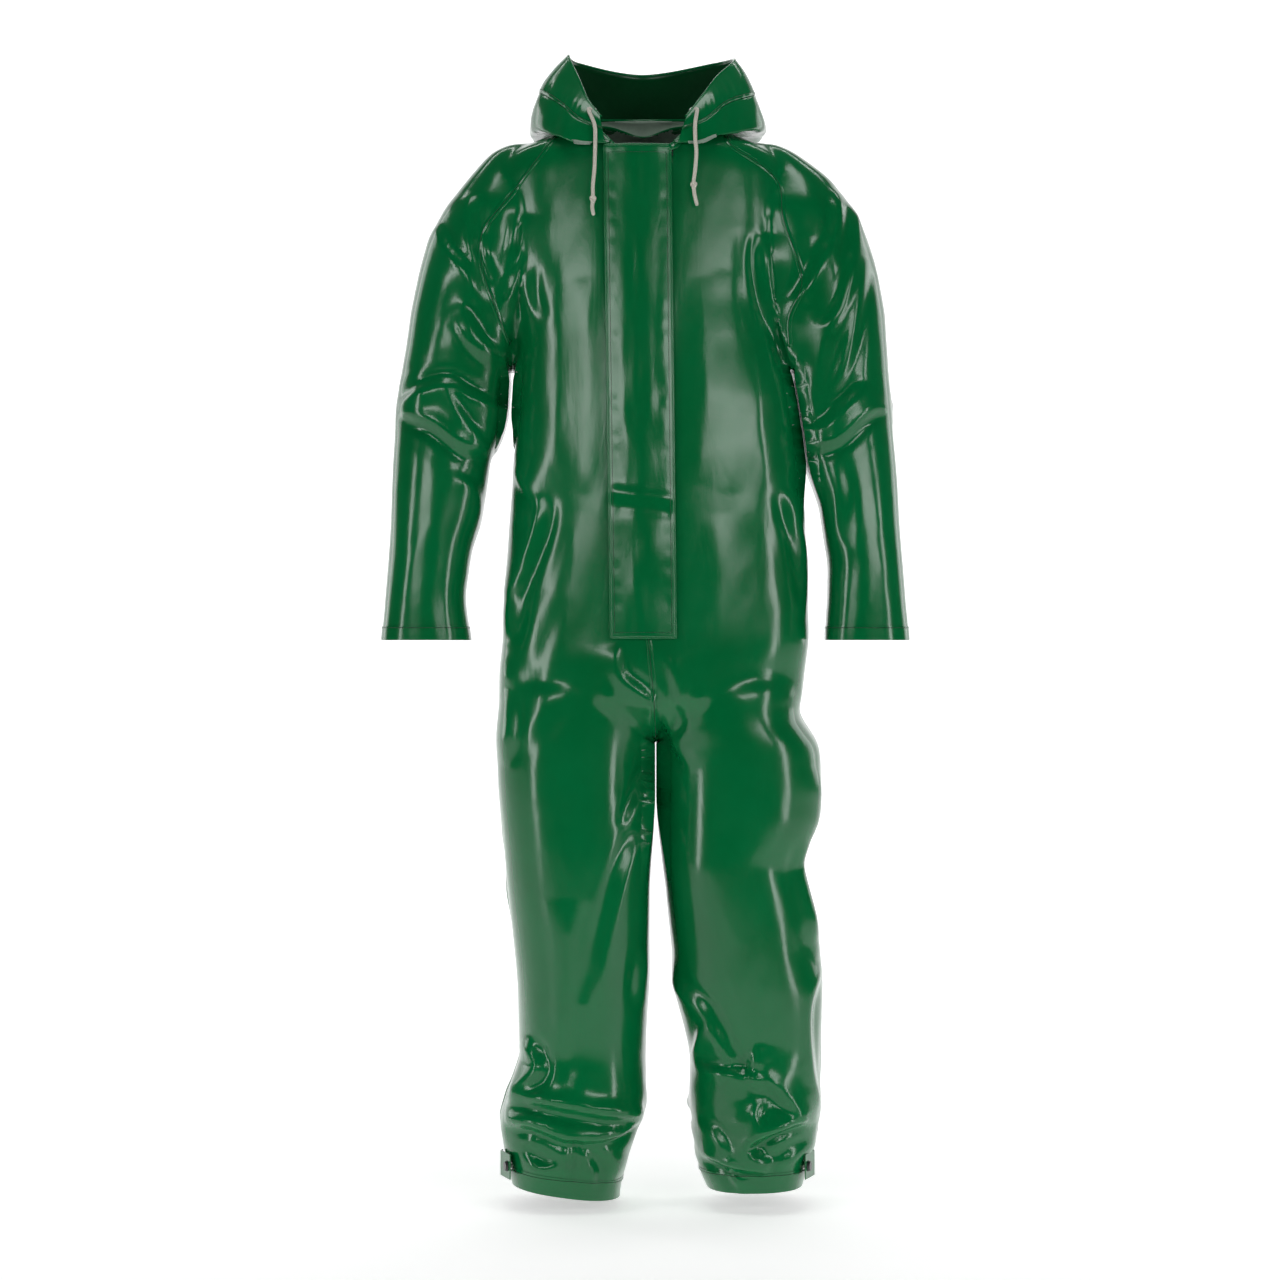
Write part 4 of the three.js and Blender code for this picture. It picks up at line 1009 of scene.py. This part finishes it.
# Each column runs from the neck seam out over the fold and up to the rim: x, y, z in millimetres.
HOOD_RIGHT = [
    [(44, -112, 2), (48, -117, 0), (52, -119, 6), (55, -118, 20), (57, -113, 36)],
    [(62, -106, 10), (76, -118, 1), (88, -120, 2), (86, -110, 36), (75, -97, 62)],
    [(84, -76, 26), (104, -100, 12), (115, -100, 17), (110, -84, 60), (89, -62, 98)],
    [(92, -20, 40), (128, -34, 28), (151, -32, 34), (140, -20, 88), (103, -10, 136)],
    [(70, 56, 56), (112, 84, 36), (140, 108, 24), (122, 104, 86), (90, 66, 138)],
]
HOOD_LEFT = [
    [(42, -112, 2), (45, -117, 0), (48, -119, 5), (53, -118, 20), (58, -113, 36)],
    [(60, -106, 10), (72, -118, 2), (83, -120, 4), (85, -110, 36), (80, -97, 66)],
    [(84, -76, 26), (100, -100, 14), (109, -100, 19), (114, -84, 62), (102, -62, 99)],
    [(92, -20, 40), (136, -34, 28), (164, -32, 34), (152, -20, 84), (127, -10, 130)],
    [(70, 56, 56), (112, 84, 36), (148, 108, 24), (130, 104, 86), (102, 66, 138)],
]
HOOD_BACK = [(0, 92, 62), (0, 126, 12), (0, 166, -48), (0, 178, 40), (0, 118, 130)]
columns = [[(-px, py, pz) for px, py, pz in col] for col in HOOD_RIGHT] + [HOOD_BACK] + HOOD_LEFT[::-1]
ACROSS, ALONG = 14, 12
along_each = np.array([catmull(col, ALONG) for col in columns])
# The hood's points: rows from neck to rim, columns round it.
grid = np.array([catmull(along_each[:, r], ACROSS) for r in range(along_each.shape[1])])
rows, cols = grid.shape[:2]


def grid_normals(g):
    du, dv = np.gradient(g, axis=1), np.gradient(g, axis=0)
    n = np.cross(dv, du)
    return n / np.maximum(np.linalg.norm(n, axis=2, keepdims=True), 1e-9)


hood_n = grid_normals(grid)
v_share = np.linspace(0, 1, rows)[:, None]
u_share = np.linspace(0, 1, cols)[None, :]
flat = grid.reshape(-1, 3)
uneven = (2.4 * field(flat, (34, 34, 50), 6) + 1.2 * field(flat, (16, 16, 24), 7)).reshape(rows, cols)
edge_calm = np.sin(np.clip(v_share, 0.02, 1) * math.pi) ** 0.5
edge_calm = edge_calm * np.sin(np.clip(u_share, 0.02, 0.98) * math.pi) ** 0.4
grid = grid + hood_n * (uneven * edge_calm)[:, :, None]
hood_n = grid_normals(grid)
if hood_n[rows - 6, cols // 2, 1] < 0:
    hood_n = -hood_n


def sheet_piece(name, g, n, outer, inner, materials):
    """A closed skin over a grid of points, between two offsets in millimetres."""
    r, c = g.shape[:2]
    verts = np.vstack([(g + n * outer).reshape(-1, 3), (g + n * inner).reshape(-1, 3)]) * MM
    size = r * c
    flip = np.cross(g[1, 0] - g[0, 0], g[0, 1] - g[0, 0]).dot(n[0, 0]) < 0
    faces, kinds = [], []  # a face's kind is its material: 0 outside and on the rim, 1 inside
    for i in range(r - 1):
        for j in range(c - 1):
            q = (i * c + j, (i + 1) * c + j, (i + 1) * c + j + 1, i * c + j + 1)
            q = q[::-1] if flip else q
            faces += [q, tuple(size + k for k in reversed(q))]
            kinds += [0, 1]
    ring = list(range(c)) + [i * c + c - 1 for i in range(1, r)] \
        + [(r - 1) * c + j for j in range(c - 2, -1, -1)] + [i * c for i in range(r - 2, 0, -1)]
    for a, b in zip(ring, ring[1:] + ring[:1]):
        faces.append((b, a, size + a, size + b) if flip else (a, b, size + b, size + a))
        kinds.append(0)
    return new_object(name, verts, faces, materials, kinds)


band_row = int(rows * 0.72)
side_cols = 4 * ACROSS + ACROSS // 2
# The stand joins the hood's inner edge to the neck binding all the way round.
seam_angle = np.arctan2((grid[0, :, 1] - NECK[1]) / NECK[2], grid[0, :, 0] / NECK[0]) % (2 * math.pi)
ring_angle = np.linspace(0, 2 * math.pi, len(p) + 1)
ring_points = np.vstack([p, p[:1]]) / MM
foot = np.column_stack([np.interp(seam_angle, ring_angle, ring_points[:, k]) for k in range(3)]) - [0, 0, 1.0]
climb = np.linspace(0, 1, 8)[:, None, None]
stand = foot[None] * (1 - climb) + grid[0][None] * climb
stand_n = stand - np.array([0, NECK[1], 0])
stand_n[:, :, 2] = 0
stand_n /= np.linalg.norm(stand_n, axis=2, keepdims=True)
stand = stand + stand_n * (2.5 * np.sin(climb * math.pi))
stand_piece = sheet_piece("hood_neck_stand", stand, stand_n, 0.9, -1.1, [GREEN, INNER])
wear(stand_piece, "suit")
ROLL = [(-1.5, -1.5), (-2.0, 0), (-1.5, 1.5), (0, 2.0), (1.5, 1.5), (2.0, 0), (1.5, -1.5), (0, -2.0)]
wear(ribbon("hood_neck_seam", grid[0] * MM - hood_n[0] * MM, stand_n[-1], ROLL, [GREEN]), "suit")
pieces = [("hood_side_right_cloth", 0, side_cols, "hood_side_right"),
          ("hood_crown_cloth", side_cols, cols - 1 - side_cols, "hood_crown"),
          ("hood_side_left_cloth", cols - 1 - side_cols, cols - 1, "hood_side_left")]
for name, first, last, node in pieces:
    part = (slice(band_row + 1), slice(first, last + 1))
    wear(sheet_piece(name, grid[part], hood_n[part], 0, -2.0, [GREEN, INNER]), "suit", node)
# The hem round the hood's opening: a turned band that holds the drawcord, fuller where the cord lies in it.
band = grid[band_row:, :].copy()
band_n = hood_n[band_row:, :]
share = np.linspace(0, 1, band.shape[0])[:, None]
full = 1.1 + 1.6 * np.sin(share * math.pi) ** 0.7
puckers = 0.35 * np.sin(np.linspace(0, 260, cols))[None, :] * (1 - share)
band_skin = band + band_n * (full + puckers - 1.0)[:, :, None]
# The band's inner face takes the darker copy of the cloth, as painted shade.
wear(sheet_piece("hood_band", band_skin, band_n, 0.6, -3.6, [GREEN, GREEN_PAINTED_SHADE]), "suit", "hood_hem")
inside_line = spaced(band[band.shape[0] // 2, 5:-5] + band_n[band.shape[0] // 2, 5:-5] * 0.2, 4.0)
wear(tube("drawcord_in_band", inside_line, 1.35, [COTTON], 8, None, 4, 0.85), "suit", "drawcord_run",
     slot="cotton_cord")
edge_line = grid[-1] * MM + hood_n[-1] * (-0.9 * MM)
RIM = [(-1.6, -1.6), (-2.1, 0), (-1.6, 1.6), (0, 2.2), (1.6, 1.6), (2.1, 0), (1.6, -1.6), (0, -2.2)]
wear(ribbon("hood_rim_edge", edge_line, hood_n[-1], RIM, [GREEN]), "suit")
wear(stitches("hood_band_stitch", (band[1] + band_n[1] * 1.2) * MM, band_n[1], [THREAD]), "suit")
for end, col in (("right", side_cols), ("left", cols - 1 - side_cols)):
    line, up = grid[2:band_row, col] * MM, hood_n[2:band_row, col]
    wear(ribbon("hood_crown_seam_" + end, line, up, FELLED, [GREEN]), "suit")


# ---------------------------------------------------------------- storm flap

FLAP_TOP, FLAP_LENGTH = -2.0, 662.0
FLAP_BEND = ("suit", "flap", (0.046, -0.12, -0.3), (0.026, -0.12, -0.3))


def flap_grid(lift_edge, lift_middle):
    levels = np.linspace(FLAP_TOP, FLAP_TOP - FLAP_LENGTH, 190)
    shares = np.linspace(0, 1, 34)
    out = np.zeros((len(levels), len(shares), 3))
    wall_table = [(a, b) for a, b, _ in TORSO_DEPTH]
    for i, zz in enumerate(levels):
        t = (FLAP_TOP - zz) / FLAP_LENGTH
        left, right = -52.5 + 9.5 * t, 37.0 + 7.0 * t
        wall = by_z(wall_table, zz) if zz <= -12 else -113.2
        for j, s in enumerate(shares):
            px = left + (right - left) * s
            u = (px - by_z(TORSO_WIDTH, min(zz, -30), 1)) / by_z(TORSO_WIDTH, min(zz, -30), 2)
            depth = (126 + 112.8) / 2
            curve = depth * (1 - (1 - abs(u) ** TORSO_ROUNDNESS) ** (1 / TORSO_ROUNDNESS))
            crown = math.sin(math.pi * s) ** 0.8
            out[i, j] = (px, wall + curve * 0.85 - lift_edge - (lift_middle - lift_edge) * crown, zz)
    return out


flap = flap_grid(5.0, 9.4)
flap_flat = flap.reshape(-1, 3)
flap_uneven = 0.9 * field(flap_flat, (22, 40, 60), 8) + 0.8 * field(flap_flat, (16, 30, 130), 9)
flap_uneven = flap_uneven.reshape(flap.shape[:2])
z_flap = flap[:, :, 2]
# One soft fold lies across the flap, low down, and leans with it.
across_z = z_flap + 0.12 * flap[:, :, 0]
flap_uneven += 1.8 * np.exp(-((across_z + 474) / 9) ** 2) - 1.0 * np.exp(-((across_z + 492) / 10) ** 2)
s_flap = np.linspace(0, 1, flap.shape[1])[None, :]
edge = np.exp(-(s_flap / 0.09) ** 2) + np.exp(-((1 - s_flap) / 0.09) ** 2)
flap_uneven = flap_uneven * (1 - 0.6 * edge)
pucker = field(flap_flat * (0, 0, 1), (17, 17, 17), 10).reshape(flap.shape[:2])
flap_uneven += 0.45 * (np.exp(-((s_flap - 0.11) / 0.05) ** 2) + np.exp(-((0.89 - s_flap) / 0.05) ** 2)) * pucker
flap[:, :, 1] -= flap_uneven
flap_n = np.zeros_like(flap)
flap_n[:, :, 1] = -1
flap_outer = sheet_piece("storm_flap_cloth", flap, flap_n, 0, -1.6, [GREEN, GREEN])
wear(flap_outer, FLAP_BEND, "storm_flap")
facing_grid = flap[3:-3, 1:-1]
flap_inner = sheet_piece("storm_flap_lining", facing_grid, flap_n[3:-3, 1:-1], -1.7, -2.6, [GREEN, INNER])
wear(flap_inner, FLAP_BEND, "storm_flap_facing")
rim = np.vstack([flap[:, 0][::-1], flap[0, 1:], flap[1:, -1], flap[-1, -2::-1]])
FLAP_RIM = [(-1.0, -0.9), (-1.5, 0), (-1.0, 0.9), (0, 1.25), (1.0, 0.9), (1.5, 0), (1.0, -0.9), (0, -1.25)]
forward = np.tile([0.0, -1.0, 0.0], (len(rim) - 1, 1))
rim_line = rim[:-1] * MM + np.array([0, 0.0008, 0])
rim_piece = ribbon("storm_flap_edge", rim_line, forward, FLAP_RIM, [GREEN], closed=True)
wear(rim_piece, FLAP_BEND)
inset = np.vstack([flap[-3:2:-1, 2], flap[3, 3:-2], flap[4:-2, -3], flap[-3, -4:1:-1]])
inset = (inset + np.array([0, -0.25, 0])) * MM
flap_row = stitches("storm_flap_stitch", inset, np.tile([0.0, -1.0, 0.0], (len(inset), 1)), [THREAD])
wear(flap_row, FLAP_BEND)


# ---------------------------------------------------------------- ankle take-up tabs

for end in ("left", "right"):
    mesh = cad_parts["ankle_pleat_" + end].data.copy()
    tab = bpy.data.objects.new("take_up_tab_" + end, mesh)
    mesh.materials.clear()
    mesh.materials.append(GREEN)
    scene.collection.objects.link(tab)
    bevel = tab.modifiers.new("soft", "BEVEL")
    bevel.width, bevel.segments, bevel.limit_method = 0.0005, 2, "ANGLE"
    wear(tab, "pleat_" + end, "ankle_pleat_" + end)


# ---------------------------------------------------------------- carried-over CAD nodes

FINISHES = {
    "hook_strip": HOOK, "loop_strip": HOOK, "zip_tape": TAPE, "zip_teeth": TEETH, "zip_top_stop": STEEL,
    "zip_bottom_stop": STEEL, "zip_slider": STEEL, "zip_pull_tab": STEEL, "eyelet": EYELET,
    "snap_cap": SNAP, "snap_socket": STEEL, "snap_stud": STEEL,
}
for name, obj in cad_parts.items():
    for start, finish in FINISHES.items():
        if name.startswith(start):
            for material_slot in obj.material_slots:
                material_slot.link = "OBJECT"
                material_slot.material = finish


# ---------------------------------------------------------------- floor, backdrop and light

stage_material, tree, shader = nodes_of("pale_floor")
fac = noise_node(tree, place(tree), 3, 3)
tree.links.new(colours(tree, fac, (0.86, 0.86, 0.86), (0.9, 0.9, 0.9)), shader.inputs["Base Color"])
fill(shader, {"Roughness": 0.75, "Emission Color": (1, 1, 1, 1), "Emission Strength": 0.5})
FLOOR_Z = -1.442
FLOOR_FRONT, FLOOR_BACK, CORNER, WALL_TOP = -1.9, 5.4, 1.3, 6.0
profile = [(FLOOR_FRONT, 0.0), (FLOOR_BACK, 0.0)]
for a in np.linspace(0.1, math.pi / 2, 12):
    profile.append((FLOOR_BACK + CORNER * math.sin(a), CORNER - CORNER * math.cos(a)))
profile.append((FLOOR_BACK + CORNER, WALL_TOP))
sweep, sweep_faces = [], []
for i, (yy, up) in enumerate(profile):
    sweep += [(-7.5, yy, FLOOR_Z + up), (7.5, yy, FLOOR_Z + up)]
    if i:
        a = 2 * i
        sweep_faces.append((a - 2, a - 1, a + 1, a))
floor = new_object("floor_and_wall", sweep, sweep_faces, [stage_material])


# Each light's place, where it points, its size and its power.
LIGHTS = {
    "softbox_left": ((-1.6, -3.3, 0.17), (0, 0, -0.35), (1.3, 0.5), 13),
    "softbox_right": ((1.75, -3.3, 0.17), (0, 0, -0.35), (1.8, 0.5), 18),
    "strip_left": ((-3.2, -2.0, -0.55), (0, 0, -0.6), (0.5, 1.9), 22),
    "strip_right": ((3.2, -2.0, -0.55), (0, 0, -0.6), (0.5, 1.9), 22),
    "overhead": ((0, -0.7, 2.3), (0, -0.05, -0.2), (1.8, 0.9), 26),
    "back_left": ((-2.2, 1.6, 0.1), (0, 0, -0.6), (0.9, 2.0), 10),
    "back_right": ((2.2, 1.6, 0.1), (0, 0, -0.6), (0.9, 2.0), 10),
    "wall_wash": ((0, 2.6, 3.4), (0, 6.4, -0.9), (6.0, 1.0), 170),
}
for name, (location, target, size, power) in LIGHTS.items():
    data = bpy.data.lights.new(name, "AREA")
    data.shape = "RECTANGLE"
    data.size, data.size_y = size
    data.energy = power
    lamp = bpy.data.objects.new(name, data)
    lamp.location = location
    lamp.rotation_euler = (Vector(target) - Vector(location)).to_track_quat("-Z", "Y").to_euler()
    scene.collection.objects.link(lamp)

world = bpy.data.worlds.new("studio")
world.use_nodes = True
scene.world = world
# The studio is pale behind the suit and dim on the camera's side.
tree = world.node_tree
direction = add(tree, "ShaderNodeTexCoord")
split = add(tree, "ShaderNodeSeparateXYZ")
tree.links.new(direction.outputs["Generated"], split.inputs[0])
room = add(tree, "ShaderNodeMapRange", **{"From Min": -0.5, "From Max": 0.35, "To Min": 0.035, "To Max": 0.85})
tree.links.new(split.outputs["Y"], room.inputs["Value"])
tree.links.new(room.outputs["Result"], tree.nodes["Background"].inputs["Strength"])
backdrop = add(tree, "ShaderNodeBackground", Color=(1, 1, 1, 1), Strength=0.93)
seen = add(tree, "ShaderNodeLightPath")
choose = add(tree, "ShaderNodeMixShader")
tree.links.new(seen.outputs["Is Camera Ray"], choose.inputs[0])
tree.links.new(tree.nodes["Background"].outputs[0], choose.inputs[1])
tree.links.new(backdrop.outputs[0], choose.inputs[2])
tree.links.new(choose.outputs[0], tree.nodes["World Output"].inputs["Surface"])
